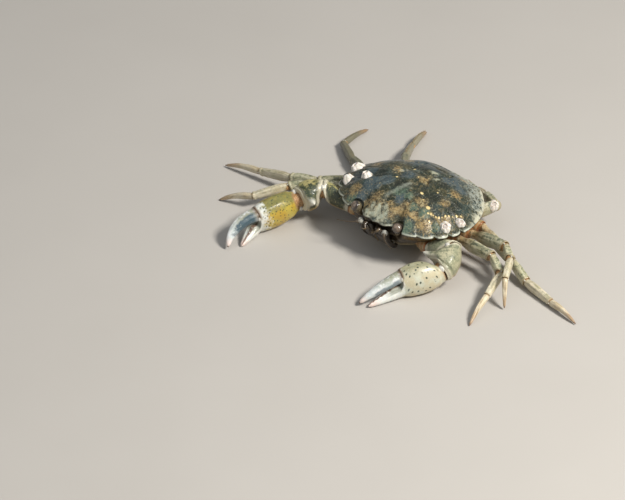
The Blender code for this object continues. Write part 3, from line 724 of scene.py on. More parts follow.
def growths():
    """The small yellow growths: the single ones and the curved row of them."""
    sizes = 0.38 + 0.12 * np.cos(2.3 * np.arange(ROW_COUNT))
    return [*GROWTHS, *((x, y, size) for (x, y), size in zip(bezier(*GROWTH_ROW, ROW_COUNT), sizes))]


def rim_lines(ring):
    """The line round the shell at each part of the way to the rim: toothed there, smooth further in."""
    toothed = ease(ring, TEETH_FROM, 1.0)[..., None]
    line = EDGE * toothed + SMOOTH * (1 - toothed)
    return line[..., 0] * ring, MIDDLE + (line[..., 1] - MIDDLE) * ring


def carapace():
    """The lower face as rings from inside out to the rim, then the upper face from there to its middle."""
    ring = np.maximum(1 - np.linspace(0, 1, SHELL_ROWS) ** ROW_POWER, LEAST_RING)[:, None]
    x, y = rim_lines(ring)
    top = np.stack([x, y, upper_face(x, y, ring)], axis=-1)
    top[..., 2] += 0.12 * grain(top, 5.0) + 0.05 * grain(top, 1.6, 7.0) + 0.25 * patch(x, y, growths())
    top[0, :, 2] -= 0.12
    reach, drop = np.array(RIM_UNDERSIDE).T[..., None]
    x, y = rim_lines(reach)
    under = np.stack([x, y, edge_height(y) - drop], axis=-1)
    grid = clear_of_eyes(np.concatenate([under, top]), EYE_RADIUS + EYE_CLEARANCE)

    x, y = grid[..., 0], grid[..., 1]
    ring = np.concatenate([np.minimum(reach, 1.0), ring])
    back = (y - FRONT) / WIDTH
    toothy = ease(back, 0.0, 0.04) * ease(0.4 - back, 0.0, 0.05)
    from_rim = (1 - ring) * WIDTH / 2
    furrows = [(depth / 0.65, 1.3 * width, np.array(line) * WIDTH) for depth, width, line in FURROWS]
    marks = {
        **{name: patch(x, y, spots) for name, spots in PATCHES.items()},
        **{name: drawn(x, y, lines) for name, lines in LINES.items()},
        "growth": patch(x, y, growths()),
        "rim": bell(from_rim, 0.3) * (0.2 + 0.8 * toothy),
        "rear_rim": bell(from_rim, 1.7) * ease(x / 30 + back, 0.6, 1.1) * ease(back, 0.36, 0.46),
        "net": ease(0.55 * x / 30 + 0.75 * (y - 2) / 26, 0.3, 0.95) * ease(ring, 0.5, 0.85),
        "furrow": drawn(np.abs(x), y - FRONT, furrows),
        "oval": bell(np.hypot((x - 0.7) / 3.4, (y - 14.8) / 2.3) ** 3, 1.0),
        "below": 1 - ease(grid[..., 2] - edge_height(y), -0.42, -0.22),
    }
    shell("carapace", shell_look(), Surface(grid, marks))


def shell_look():
    """Dark green, speckled with tan: the patches change the ground colour and how dense the speckles are."""
    look = Look("shell_mottled_green", 0.36, 0.2)
    wide = look.noise(6.5, 3.0, 0.6, 0.5)
    middle = look.noise(2.3, 4.0, 0.65, 0.4)
    small = look.noise(0.95, 3.0, 0.7)
    fine = look.noise(0.42, 2.0, 0.7)
    grit = look.linear(small, 0.6, look.both(fine, 0.4))
    ragged = look.linear(small, 0.6, look.linear(middle, 1.0, -0.8))

    def patchy(name, low=0.3, high=0.75, spread=1.5):
        """A patch with an edge broken up by noise."""
        return look.step(look.linear(ragged, spread, name), low, high)

    ochre = patchy("ochre", 0.2, 0.9, 1.7)
    bare = look.math("SUBTRACT", ochre, "black")
    tan = look.mix((middle, 0.35, 0.65), (0.36, 0.24, 0.09), (0.3, 0.26, 0.14))
    pale = look.mix((middle, 0.4, 0.6), (0.42, 0.4, 0.28), (0.4, 0.44, 0.34))
    web = look.cells(1.5, "DISTANCE_TO_EDGE", look.stretched(look.place, (1.0, 0.75, 1.0)))
    web = look.math("MAXIMUM", (web, 0.2, 0.03), (middle, 0.5, 0.6))
    colour = look.paint(
        look.mix((middle, 0.4, 0.6), (0.016, 0.024, 0.014), (0.068, 0.06, 0.028)),
        ((0.026, 0.046, 0.042), (wide, 0.46, 0.62), 0.8),
        ((0.055, 0.085, 0.1), patchy("slate"), 0.8),
        ((0.08, 0.13, 0.09), patchy("teal"), 0.8),
        ((0.17, 0.11, 0.045), ochre, 0.7),
        ((0.01, 0.014, 0.009), patchy("black"), 0.85),
        # Painted shade in the furrows between the swellings.
        ((0.014, 0.02, 0.018), "furrow", 0.5),
        (tan, (look.linear(bare, 0.1, grit), 0.555, 0.64), 0.85),
        (pale, patchy("pale", 0.25, 0.85, 1.3), 0.85),
        ((0.3, 0.33, 0.27), patchy("streak", 0.3, 1.3, 1.6), 0.5),
        ((0.36, 0.25, 0.095), patchy("gold", 0.3, 1.2, 1.6), 0.55),
        ((0.008, 0.012, 0.008), (grit, 0.45, 0.38), 0.85),
        ((0.36, 0.36, 0.26), (look.noise(0.5, 2.0, 0.7), 0.57, 0.68), 0.5),
        # Pale web marbling, strongest towards the left rear: partly the shell's own marbling, partly painted
        # light on the side that faces the lamp.
        ((0.38, 0.42, 0.37), web, (look.linear(ragged, 1.0, "net"), 0.35, 1.05), 0.75),
        # A pale band along the left rear rim: partly its own colour, partly a painted highlight where the
        # light falls on the rim.
        ((0.56, 0.54, 0.4), "rear_rim", (middle, 0.38, 0.52), 0.85),
        ((0.6, 0.63, 0.52), "rim", 0.9),
        ((0.022, 0.036, 0.038), "oval"),
        ((0.66, 0.52, 0.24), ("growth", 0.3, 0.6)),
        # Painted shade on the underside of the rim.
        ((0.05, 0.034, 0.016), "below"),
    )
    granules = look.linear(look.cells(0.75, "SMOOTH_F1"), -1.0, look.both(small, 1.2))
    return look.finish(colour, granules, 0.16, look.linear(middle, 0.35, 0.2))


def barnacles():
    """Acorn barnacles: a cone of six ribbed plates round an opening closed by four small valves."""
    surface = Surface()
    for index, (across, back, width) in enumerate(BARNACLES):
        x, y = across * WIDTH, back * WIDTH
        slope = (dome(x + 1, y) - dome(x - 1, y), dome(x, y + 1) - dome(x, y - 1))
        foot = np.array((x, y, dome(x, y)))
        surface.add(*barnacle(foot, unit((-slope[0], -slope[1], 2.0)), width, index))
    make("barnacles", surface, BARNACLE_LOOK, ["carapace"], BARNACLE_CREASE)


def barnacle(foot, out, width, seed):
    across, up = frame_of(out)
    angle = circle(BARNACLE_SIDES)
    plates = 0.5 + 0.5 * np.cos(6 * angle + seed)
    ribs = 0.5 + 0.5 * np.cos(30 * angle + 2 * np.sin(3 * angle + seed))
    height, part, rib = np.array(BARNACLE_PROFILE).T[..., None]
    radius = width / 2 * part * (1 + 0.08 * np.cos(2 * angle + seed))
    radius = radius * (1 + rib * (0.08 * plates + 0.022 * ribs - 0.06))
    slit = 0.05 * (1 - np.abs(np.cos(angle))) * (0.36 - part) / 0.36
    rise = width * (height * (1 + 0.06 * rib * plates) - slit * (rib == 0))
    grid = foot + laid(rise[..., None] * out, (across, up), radius * np.cos(angle), radius * np.sin(angle))
    grid = grid + out * (0.1 * grain(grid, 0.9, seed * 3.0))[..., None]
    # How deep in painted shade each point lies: the seams between plates, between the ribs, and the top.
    crevice = rib * (0.7 * (1 - plates) ** 4 + 0.2 * (1 - ribs)) + (1 - np.minimum(1, rib * 3)) * 0.2
    return grid, {"crevice": crevice, "valve": rib == 0}


def barnacle_look():
    look = Look("barnacle_plates", 0.55, subsurface=0.15)
    colour = look.paint(
        look.mix((look.noise(1.1), 0.35, 0.65), (0.8, 0.74, 0.7), (0.62, 0.58, 0.5)),
        # Painted shade in the seams between the plates, between the ribs and on the top.
        ((0.3, 0.29, 0.22), ("crevice", 0.35, 0.9), 0.6),
        ((0.36, 0.32, 0.3), "valve", 0.65),
    )
    return look.finish(colour, look.noise(0.35), 0.1)


# ---------------------------------------------------------------- tubes and limbs


def frame_of(direction, lean=0.0):
    """Across and up of a piece that points along direction, its top leaning by an angle."""
    across = unit(np.cross(direction, UP))
    up = unit(np.cross(across, direction))
    turn = math.radians(lean)
    return math.cos(turn) * across - math.sin(turn) * up, math.sin(turn) * across + math.cos(turn) * up


def laid(path, frame, a, b):
    """The points a across and b up from a path, where frame is across and up."""
    across, up = frame
    return path + across[..., None, :] * a[..., None] + up[..., None, :] * b[..., None]


def section(height, width, sides, power=SECTION_POWER):
    """(across, up) of a rounded section of each height and width, as two arrays of rows by sides."""
    across, up = np.cos(circle(sides)), np.sin(circle(sides))
    a = np.sign(across) * np.abs(across) ** (2 / power)
    b = np.sign(up) * np.abs(up) ** (2 / power)
    return np.outer(width, a) / 2, np.outer(height, b) / 2


class Limb:
    """One leg or claw arm. Its points are its root, then the joints of the part's source, then its tip."""

    def __init__(self, side, root, base, segments):
        self.side = side
        self.points = [mirrored((*root, ROOT_HEIGHT), side), mirrored((*base, COXA_HEIGHT), side)]
        for length, heading, slope in segments:
            self.points.append(self.points[-1] + length * mirrored(pointing(heading, slope), side))

    def directions(self, joint):
        """The directions before and after a joint. They are the same at the limb's root and at its tip."""
        steps = unit(np.diff(self.points, axis=0))
        return steps[max(joint - 1, 0)], steps[min(joint, len(steps) - 1)]

    def normal(self, joint):
        before, after = self.directions(joint)
        return unit(before + after)

    def inner(self, joint):
        """Towards the inside of the bend at a joint, or down where the joint is straight."""
        before, after = self.directions(joint)
        bend = after - before
        if np.linalg.norm(bend) < 0.25:
            bend = bend - 0.4 * UP
        return unit(bend)


def shaft(limb, joint, profile, sides, rows, open_by, shape, seed, rough=COARSE_GRAIN, bow=0.0, lean=0.0):
    """The detailed tube from one point of a limb to the next, cut off by the plane of each joint.

    open_by is how far the shell is cut back on the inside of a bend, and shape returns how much wider
    the section is for each part of the length and each angle.
    """
    start, end = limb.points[joint:joint + 2]
    direction, length = unit(end - start), np.linalg.norm(end - start)
    frame = frame_of(direction, lean)
    at = np.linspace(0, 1, rows)
    at = 0.6 * (0.5 - 0.5 * np.cos(np.pi * at)) + 0.4 * at
    height, width = spline([row[0] for row in profile], [row[1:] for row in profile], at).T
    a, b = section(height, width, sides)
    angle = circle(sides)
    shifts, limits = [], []
    for row, cut, sign in ((0, joint, 1), (-1, joint + 1, -1)):
        offset = laid(0.0, frame, a[row], b[row])
        normal, back = limb.normal(cut), 0.0
        if 0 < cut < len(limb.points) - 1:
            back = HALF_GAP + open_by * ease(unit(offset) @ limb.inner(cut), 0.0, 0.9)
        moved = (sign * back - offset @ normal) / (direction @ normal)
        reach = np.linalg.norm(offset + moved[:, None] * direction, axis=1)
        shifts.append(moved)
        limits.append(np.minimum(1.0, MITRE_LIMIT * max(profile[row][1:]) / 2 / reach))
    near, far = (1 - at)[:, None], at[:, None]
    squeeze = 1 - (1 - limits[0]) * near**6 - (1 - limits[1]) * far**6
    along = far * length + shifts[0] * limits[0] * near**2 + shifts[1] * limits[1] * far**2
    wider = shape(far, angle[None]) * squeeze
    grid = laid(start + direction * along[..., None], frame, a * wider, b * wider)
    grid = grid + frame[1] * (bow * np.sin(np.pi * at))[:, None, None]
    wobble = grain(grid, 2.4, seed) + 0.5 * grain(grid, 0.9, seed + 5)
    grid = grid + unit(laid(0.0, frame, a * wider, b * wider)) * (rough * wobble)[..., None]
    girth = (height + width)[:, None] / 2
    ends = np.minimum(along - shifts[0], length + shifts[1] - along)
    return grid, {
        "skin": np.stack([along, girth * angle / 2, np.full(along.shape, seed)], axis=-1),
        "along": np.broadcast_to(far, along.shape),
        "top": np.broadcast_to(np.sin(angle), along.shape),
        "side": np.broadcast_to(np.cos(angle), along.shape),
        "end": np.clip(ends, 0, END_REACH),
    }


def socketed(grid, marks, start=True, end=True, depth=0.9):
    """Rounds the near end of a tube and turns the lip of its far end inwards, as a socket.

    Each row added is a copy of the end row, drawn in by a part and moved along the tube by a shift.
    """
    near = ((0.6, -0.38), (0.3, -0.3), (0.1, -0.12)) if start else ()
    lip = ((0.05, 0.06), (0.12, 0.02), (0.17, -0.25 * depth), (0.2, -depth), (0.6, -1.2 * depth))
    far = lip if end else ()
    centres = grid.mean(axis=1)
    inwards, outwards = unit(centres[2] - centres[0]), unit(centres[-1] - centres[-3])
    before = [grid[0] + (centres[0] - grid[0]) * part + inwards * shift for part, shift in near]
    after = [grid[-1] + (centres[-1] - grid[-1]) * part + outwards * shift for part, shift in far]
    rows = [0] * len(near) + list(range(len(grid))) + [-1] * len(far)
    return np.array([*before, *grid, *after]), {name: values[rows] for name, values in marks.items()}


def on_ground(grid):
    return np.maximum(grid, (-np.inf, -np.inf, 0.0))


def around(angle, degrees, width):
    """A bump round one angle of a section."""
    off = (angle - math.radians(degrees) + math.pi) % (2 * math.pi) - math.pi
    return bell(off, math.radians(width))


def swept(path, height, width, sides, power=2.0):
    """A tube of rounded sections square to a path, of each height and width."""
    frame = frame_of(unit(np.gradient(path, axis=0)))
    return laid(path[:, None], frame, *section(height, width, sides, power))


def membrane(limb, joint, sizes, reach=1.3, fill=0.84):
    """The wrinkled skin that closes the gap at a joint."""
    point = limb.points[joint]
    before, after = limb.directions(joint)
    folds = fill * (1 + 0.05 * np.cos(1.9 * np.arange(15)))
    path = bezier(point - before * reach, point, point + after * reach, len(folds))
    grid = swept(path, sizes[0] * folds, sizes[1] * folds, 28, 2.1)
    return grid + 0.06 * grain(grid, 0.7)[..., None]


def tube(path, widths, sides=14, rings=0.0):
    """A round tube along a path, of each width. rings is how fast the rings round it follow each other."""
    ripple = 0.12 * np.cos(rings * np.arange(len(path))) if rings else 0.0
    widths = widths * (1 + ripple)
    return swept(path, widths, widths, sides), {"along": np.linspace(0, 1, len(path))[:, None]}


def ball(centre, radii, axes=((1, 0, 0), (0, 1, 0), (0, 0, 1)), rows=12, sides=20):
    """An ellipsoid with its own axes."""
    polar = np.linspace(0.04, 0.96, rows)[:, None] * math.pi
    angle = circle(sides)
    directions = (np.sin(polar) * np.cos(angle), np.sin(polar) * np.sin(angle), np.cos(polar) + 0 * angle)
    return centre + np.stack(directions, axis=-1) * radii @ np.array(axes)


def condyle_pair(limb, joint, sizes, radius):
    """The two hard knobs that a joint turns on."""
    before, after = limb.directions(joint)
    axis = np.cross(before, after)
    axis = frame_of(before)[0] if np.linalg.norm(axis) < 0.2 else unit(axis)
    across, up = frame_of(unit(before + after))
    reach = 1 / math.hypot(axis @ across / (sizes[1] / 2), axis @ up / (sizes[0] / 2))
    offset = axis * (reach - 0.35 * radius)
    size = (radius, radius * 0.8, radius * 0.9)
    return [ball(limb.points[joint] + side * offset, size) for side in SIDES.values()]


def joint_pieces(prefix, limb, membranes, condyles, more_skin=(), more_knobs=()):
    """The skin in the gaps between a limb's segments, and the hard knobs that its joints turn on."""
    skin, knobs = Surface(), Surface()
    for grid in (*(membrane(limb, *row) for row in membranes), *more_skin):
        skin.add(grid)
    for grid in (*(knob for row in condyles for knob in condyle_pair(limb, *row)), *more_knobs):
        knobs.add(grid)
    make(f"{prefix}_membranes", skin, MEMBRANE_LOOK)
    make(f"{prefix}_condyles", knobs, KNOB_LOOK)


def add_hairs(surface, roots, outs, length, thickness, seed):
    """Stiff setae: slim three-sided spikes."""
    random = np.random.default_rng(seed)
    angle = np.array(HAIR_CORNERS)
    for root, out in zip(roots, outs):
        long = length * random.uniform(0.6, 1.1)
        tip = root + unit(out + random.normal(0, 0.12, 3)) * long
        middle = (root + tip) / 2 + 0.08 * long * random.normal(0, 1, 3)
        across, up = frame_of(unit(tip - root))
        wide = thickness / 2 * np.array(HAIR_TAPER)[:, None]
        path = np.array((root, middle, tip))[:, None]
        surface.add(laid(path, (across, up), wide * np.cos(angle), wide * np.sin(angle)))


# ---------------------------------------------------------------- body


def body_side(level, outline):
    """The line round the body at each level, 1 under the carapace and 0 at the belly."""
    tiers = np.array(UNDERSIDE[::-1])
    across, front, back = spline(tiers[:, 0], tiers[:, 1:], level).T[..., None]
    x = outline[:, 0] * across
    y = MIDDLE + (outline[:, 1] - MIDDLE) * np.where(outline[:, 1] < MIDDLE, front, back)
    return np.stack([x, y, BELLY + (edge_height(y) - SHELL_EDGE - BELLY) * level[:, None]], axis=-1)


def body():
    """The wall of the body from the carapace down, then its belly inwards to the middle."""
    level = np.linspace(1, 0, WALL_ROWS)
    wall = body_side(level, BODY_EDGE[::2])
    spread = np.linspace(0.94, 0.03, BELLY_ROWS)[:, None]
    x, y, z = wall[-1].T
    belly = np.stack([x * spread, MIDDLE + (y - MIDDLE) * spread, z - 0.5 * (1 - spread**2)], axis=-1)
    grid = np.concatenate([wall, belly])
    tiers = np.concatenate([level, np.zeros(len(spread))])[:, None]
    x, y = grid[..., 0], grid[..., 1]
    outwards = unit(np.stack([x, y - MIDDLE, np.zeros(x.shape)], axis=-1))
    front = ease(-y, 6, 14)
    seam = bell((tiers - 0.6 - 0.1 * np.sin(y / 7)) * 14, 0.5) * (1 - front)
    ridge = bell((tiers - 0.66 + 0.004 * x * x / 10) * 14, 0.6) * front
    hollow = bell((tiers - 0.84) * 7, 0.7) * front
    sternites = sum(bell(y - place - 0.05 * np.abs(x) ** 1.3, 0.45) for place in STERNITES)
    sternites = sternites * ease(np.abs(x), 2.5, 4.0) * (1 - ease(tiers, 0.1, 0.35))
    grid = grid + outwards * (0.35 * ridge - 0.5 * hollow - 0.25 * seam)[..., None]
    grid[..., 2] += 0.45 * sternites
    grid = grid + outwards * (0.12 * grain(grid, 2.5) + 0.05 * grain(grid, 0.9))[..., None]
    grid = clear_of_eyes(grid, EYE_SOCKET)
    marks = {
        "tier": tiers,
        "front": front,
        "ridge": ridge,
        "line": np.maximum(seam, sternites),
        "rearwards": ease(y, -4, 10),
        "band": bell((tiers - 0.84) * 7, 0.8) * ease(np.abs(x), 9, 17),
    }
    make("body_shell", Surface(grid, marks), body_look(), ["thorax"])


def body_look():
    look = Look("underside_shell_look", 0.38, 0.2)
    blotch = look.noise(2.4, 4.0)
    fine = look.noise(0.6)
    colour = look.paint(
        look.mix(("tier", 0.1, 0.5), (0.5, 0.42, 0.25), (0.15, 0.105, 0.045)),
        ((0.08, 0.065, 0.03), (blotch, 0.42, 0.62), "tier", 0.7),
        ((0.44, 0.24, 0.07), "rearwards", ("tier", 0.15, 0.6), 0.85),
        # Painted shade: near-black over the face, high up under the front of the shell.
        ((0.026, 0.019, 0.012), "front", ("tier", 0.2, 0.5), 0.9),
        ((0.17, 0.13, 0.08), "ridge", 0.7),
        ((0.36, 0.22, 0.07), "band", (blotch, 0.3, 0.55), 0.85),
        ((0.5, 0.42, 0.22), (fine, 0.6, 0.72), 0.5, "band"),
        ((0.03, 0.022, 0.012), (fine, 0.42, 0.3), 0.6),
        ((0.09, 0.055, 0.025), "line", 0.7),
    )
    return look.finish(colour, fine, 0.1, look.linear(blotch, 0.3, 0.24))


def coxa_form(at, angle):
    return 1 + 0.06 * bell(at - 0.93, 0.03) - 0.1 * bell(at - 0.8, 0.02) + 0.05 * bell(at - 0.74, 0.03)


def coxae(limbs):
    """The first segment of each limb, which leaves the body, with a ring where it meets the next."""
    surface = Surface()
    for index, (limb, (high, wide)) in enumerate(limbs):
        lip = ((0.88, high - 0.3, wide - 0.1), (1, high - 1, wide - 0.8))
        profile = ((0, high, wide), (0.7, high, wide), *lip)
        grid, marks = shaft(limb, 0, profile, LEG_SIDES, COXA_ROWS, COXA_OPEN, coxa_form, index, FINE_GRAIN)
        surface.add(*socketed(grid, marks, start=False))
    make("coxae_shell", surface, coxa_look(), ["thorax"])


def coxa_look():
    look = Look("coxa_orange", 0.36, 0.25)
    blotch = look.noise(1.8, 4.0)
    colour = look.paint(
        look.mix((blotch, 0.35, 0.65), (0.42, 0.2, 0.07), (0.5, 0.38, 0.2)),
        ((0.13, 0.12, 0.06), ("top", 0.1, 0.8), (blotch, 0.5, 0.7), 0.6),
        ((0.3, 0.12, 0.04), ("end", 0.9, 0.2)),
    )
    return look.finish(colour, look.noise(0.5), 0.08)


def middle_line(y):
    """The body's middle line behind the edge at y, from the carapace down and inwards."""
    return body_side(np.array(UNDERSIDE)[:, 0], np.array(((0.0, y),)))[:, 0]


def plate(path, widths, rise, x=0.0, columns=25, steps=()):
    """A plate that bulges by rise over a path in the x = 0 plane, with grooves across it at the steps."""
    at = np.linspace(0, len(path) - 1, 72)[:, None]
    line, wide = evenly(path, len(at)), evenly(widths, len(at))
    out = np.cross(unit(np.gradient(line, axis=0)), X)
    frame = (X, np.where(out[:, 2:] < 0.2, out, -out))
    groove = np.zeros(at.shape)
    for step in steps:
        groove += bell(at - step, 0.1)
    across = np.linspace(-1, 1, columns)
    half = across * wide / 2 * (1 - 0.05 * groove)
    lift = rise * np.sqrt(1 - np.abs(across) ** 2.6) * (1 - 0.22 * groove)
    top = laid(line[:, None], frame, half + x, lift)
    low = laid(line[:, None], frame, half * 0.9 + x, np.full(lift.shape, -0.3))
    return np.concatenate([top, low[:, ::-1]], axis=1), {"line": groove}


def abdomen():
    rear = middle_line(BACK)
    path = [rear[0] * 0.75 + rear[1] * 0.25, *rear[1:], *((0.0, y, BELLY) for y in (9, 4, -1, -5))]
    surface = Surface(*plate(path, ABDOMEN_WIDTHS, ABDOMEN_RISE, steps=ABDOMEN_GROOVES))
    look = mouth_look("abdomen_cream", (0.55, 0.47, 0.27), (0.42, 0.3, 0.14))
    shell("abdomen", look, surface)


def maxilliped(name, side):
    """The outer mouth plate of one side: a long ischium, a short merus and the palp folded on it."""
    front = middle_line(FRONT)
    top = (front[0] + front[1]) / 2
    path = [top, front[1], front[2], front[3], front[3] * 0.6 + front[4] * 0.4]
    surface = Surface(*plate(path, ENDOPOD_WIDTHS, MOUTH_RISE, side * ENDOPOD_X, steps=(1.25,)))
    surface.add(*plate(path, EXOPOD_WIDTHS, MOUTH_RISE, side * EXOPOD_X, 15))
    palp = bezier(*(top + mirrored(point, side) for point in PALP), 22)
    surface.add(*tube(palp, 1.3 - 0.7 * np.linspace(0, 1, 22) ** 1.4))
    # Very dark: the mouth plates' brown with painted shade from the front of the shell over it.
    look = mouth_look(f"mouth_brown_painted_shade_{name}", (0.05, 0.035, 0.02), (0.02, 0.015, 0.01))
    shell(f"maxilliped_{name}", look, surface)


def mouth_look(name, light, dark):
    look = Look(name, 0.36, 0.25)
    fine = look.noise(0.5)
    colour = look.paint(
        look.mix((look.noise(1.7, 4.0), 0.35, 0.65), light, dark),
        (times(light, 1.6, 1.0), (fine, 0.58, 0.72), 0.5),
        (times(dark, 0.3), "line", 0.75),
    )
    return look.finish(colour, fine, 0.08)


def mouth_details():
    """The two folded antennules and the fringe of hairs round the mouth."""
    front = middle_line(FRONT)
    surface = Surface()
    roots, outs = [], []
    random = np.random.default_rng(4)
    for side in SIDES.values():
        base = mirrored((3.2, FRONT + 0.9, EDGE_HEIGHT - 2.7), side)
        path = bezier(*(base + mirrored(point, side) for point in ANTENNULE), 16)
        surface.add(*tube(path, np.linspace(1.5, 0.6, 16)))
        whip = bezier(*(path[-1] + mirrored(point, side) for point in ANTENNULE_WHIP), 14)
        surface.add(*tube(whip, np.linspace(0.5, 0.22, 14), rings=2.0))
        for part in np.linspace(0, 1, 70):
            place = front[1] * (1 - part) + front[3] * part
            roots.append(place + mirrored((0.2 + 0.15 * random.random(), -1.1, 0), side))
            outs.append(mirrored((-0.4, -1.0, -0.5), side))
            roots.append(place + mirrored((5.5 + 0.2 * random.random(), -0.7, 0), side))
            outs.append(mirrored((0.5, -1.0, -0.4), side))
    # Dark: the antennules' brown with painted shade from the front of the shell over it.
    look = mouth_look("antennule_brown_painted_shade", (0.14, 0.1, 0.055), (0.06, 0.042, 0.024))
    make("antennules", surface, look)
    hairs = Surface()
    add_hairs(hairs, roots, outs, 1.3, 0.12, 8)
    make("mouth_hairs", hairs, HAIR_LOOK)


def hair_look():
    look = Look("setae_brown", 0.5)
    return look.finish(look.mix((look.noise(1.2, 2.0), 0.35, 0.65), (0.2, 0.13, 0.06), (0.36, 0.27, 0.15)))


# ---------------------------------------------------------------- eyes and antennae


def eye(name, side):
    centre = mirrored(EYE, side)
    gaze = unit(mirrored(GAZE, side))
    polar = np.linspace(0.02, 0.98, 40)[:, None] * math.pi
    angle = circle(56)
    facing = np.cos(polar) + 0 * angle
    radius = EYE_RADIUS * (1 - 0.03 * bell(facing - 0.1, 0.06))
    path = centre + gaze * (0.97 * radius * facing)[..., None]
    ring = radius * np.sin(polar)
    grid = laid(path, frame_of(gaze), ring * np.cos(angle), 0.94 * ring * np.sin(angle))
    make(f"eye_{name}_cornea", Surface(grid, {"facing": facing}), EYE_LOOK, [f"eye_{name}"])
    inwards = unit(mirrored(STALK_DIRECTION, side))
    path = centre + inwards * np.linspace(EYE_RADIUS * 0.6, EYE_SOCKET + 0.3, 12)[:, None]
    stalk = Surface(*tube(path, np.linspace(3.3, 2.0, 12), 28))
    look = mouth_look(f"stalk_{name}", (0.26, 0.2, 0.11), (0.1, 0.075, 0.045))
    shell(f"eyestalk_{name}", look, stalk)


def eye_look():
    look = Look("eye_cornea", 0.08, 0.6)
    colour = look.paint(
        look.mix((look.noise(0.9), 0.35, 0.6), (0.2, 0.15, 0.11), (0.11, 0.085, 0.065)),
        # Painted shade of the gap round the eye in its socket: dark where the eye faces away from its gaze.
        ((0.035, 0.028, 0.024), ("facing", 0.75, 0.5)),
        ((0.12, 0.1, 0.06), ("facing", 0.3, 0.1)),
    )
    return look.finish(colour, look.cells(0.22), 0.02)


def antenna(name, side):
    foot = mirrored(ANTENNA_FOOT, side)
    path = bezier(foot, foot + mirrored(ANTENNA_ELBOW, side), foot + mirrored(ANTENNA_TIP, side), 90)
    widths = np.interp(np.linspace(0, 1, 90), *np.transpose(ANTENNA_WIDTHS))
    surface = Surface(*tube(path, widths, 18, 1.6))
    surface.add(ball(foot + mirrored((0.4, -0.2, 0.2), side), (1.25, 1.0, 1.1)))
    shell(f"antenna_{name}", ANTENNA_LOOK, surface)


def antenna_look():
    look = Look("antenna_banded", 0.4)
    colour = look.paint(
        # Past its pale base, dark brown, partly darkened as painted shade under the front of the shell.
        look.mix(("along", 0.02, 0.2), (0.5, 0.49, 0.43), (0.07, 0.05, 0.03)),
        ((0.05, 0.036, 0.022), (look.noise(0.8), 0.5, 0.65), 0.5),
    )
    return look.finish(colour, look.noise(0.3), 0.03)


# ---------------------------------------------------------------- walking legs


def rings(at, *bumps):
    """Rings round a tube, each a height, a part of the length and a width along it."""
    return sum(height * bell(at - place, wide) for height, place, wide in bumps)


def ridges(angle, *bumps):
    """Ridges or grooves along a tube, each a height, an angle and a width in degrees."""
    return sum(height * around(angle, degrees, wide) for height, degrees, wide in bumps)


def merus_form(at, angle):
    keel = ridges(angle, (0.1, 90, 24)) * ease(at, 0.15, 0.35) + ridges(angle, (0.05, 270, 20))
    groove = ridges(angle, (-0.05, 52, 12)) * ease(at, 0.25, 0.4) * ease(1 - at, 0.06, 0.2)
    return 1 + keel + groove + rings(at, (0.07, 0.97, 0.02), (-0.05, 0.93, 0.02), (0.05, 0.02, 0.03))


def carpus_form(at, angle):
    ridge = ridges(angle, (0.08, 60, 14), (0.08, 120, 14)) * bell(at - 0.6, 0.45)
    return 1 + ridge + ridges(angle, (-0.04, 90, 12)) + rings(at, (0.07, 0.96, 0.03), (-0.05, 0.88, 0.03))


def propodus_form(at, angle):
    relief = ridges(angle, (0.07, 48, 12), (0.07, 132, 12), (0.05, 270, 16), (-0.07, 90, 12),
                    (-0.07, 20, 10), (-0.07, 160, 10))
    lip = rings(at, (0.07, 0.965, 0.025), (-0.04, 0.9, 0.03))
    return 1 + relief * ease(at, 0.05, 0.2) * ease(1 - at, 0.05, 0.15) + lip


def dactylus_form(at, angle):
    groove = ridges(angle, (-0.12, 90, 13), (-0.12, 0, 12), (-0.12, 180, 12), (-0.12, 270, 12))
    return 1 + groove * ease(at, 0.05, 0.2) * ease(1 - at, 0.05, 0.25) + rings(at, (0.06, 0.02, 0.03))


FORMS = {"merus": merus_form, "carpus": carpus_form, "propodus": propodus_form, "dactylus": dactylus_form}


def leg(name, number, limb):
    hairs = Surface()
    for joint, part in enumerate(SEGMENTS, 1):
        last = part == "dactylus"
        start, end = limb.points[joint:joint + 2]
        profile = LEG_PROFILES[number == 5][joint - 1]
        rows = int(LEG_ROWS + LEG_ROWS_PER_MM * np.linalg.norm(end - start))
        seed = number * 7 + joint - 1 + 20 * limb.side
        size = (LEG_SIDES, rows)
        bow = DACTYLUS_BOW if last else 0.0
        grid, marks = shaft(limb, joint, profile, *size, LEG_OPEN, FORMS[part], seed, FINE_GRAIN, bow)
        if last:
            tip = 0.45 * ease(marks["along"], 0.9, 1.0)[..., None]
            grid = grid * (1 - tip) + tip * grid.mean(axis=1, keepdims=True)
        # Painted shade over the whole leg, as strong as LEG_PAINTED_SHADES gives.
        marks["shade"] = np.full(grid.shape[:2], LEG_PAINTED_SHADES.get((name, number), 0.0))
        grid, marks = socketed(on_ground(grid), marks, end=not last)
        node = f"leg{number}_{name}_{part}"
        shell(node, LEG_LOOKS[part], Surface(grid, marks))
        if node == LEG_BARNACLE_NODE:
            out = unit(LEG_BARNACLE_OUT)
            grown = Surface(*barnacle(start * 0.16 + end * 0.84 + 1.5 * out, out, LEG_BARNACLE, seed=7))
            make("leg_barnacle", grown, BARNACLE_LOOK, [node], BARNACLE_CREASE)
        if part in ("propodus", "dactylus"):
            fringe(hairs, grid, number == 5, number * 10 + joint - 1)
    make(f"leg{number}_{name}_setae", hairs, HAIR_LOOK)
    joint_pieces(f"leg{number}_{name}", limb, LEG_MEMBRANES, LEG_CONDYLES)


def fringe(hairs, grid, dense, seed):
    """Short setae along the upper and lower edges of a segment, where it is clear of the ground."""
    rows, sides = grid.shape[:2]
    centres = grid.mean(axis=1)
    roots, outs = [], []
    for column in (sides // 4, 3 * sides // 4):
        for row in range(6, rows - 8, 1 if dense else 2):
            out = unit(grid[row, column] - centres[row])
            root = grid[row, column] - 0.05 * out
            if root[2] > 0.6:
                roots.append(root)
                outs.append(out + 0.9 * unit(centres[row + 1] - centres[row]))
    add_hairs(hairs, roots, outs, LONG_SETAE if dense else SHORT_SETAE, SETA_WIDTH, seed)


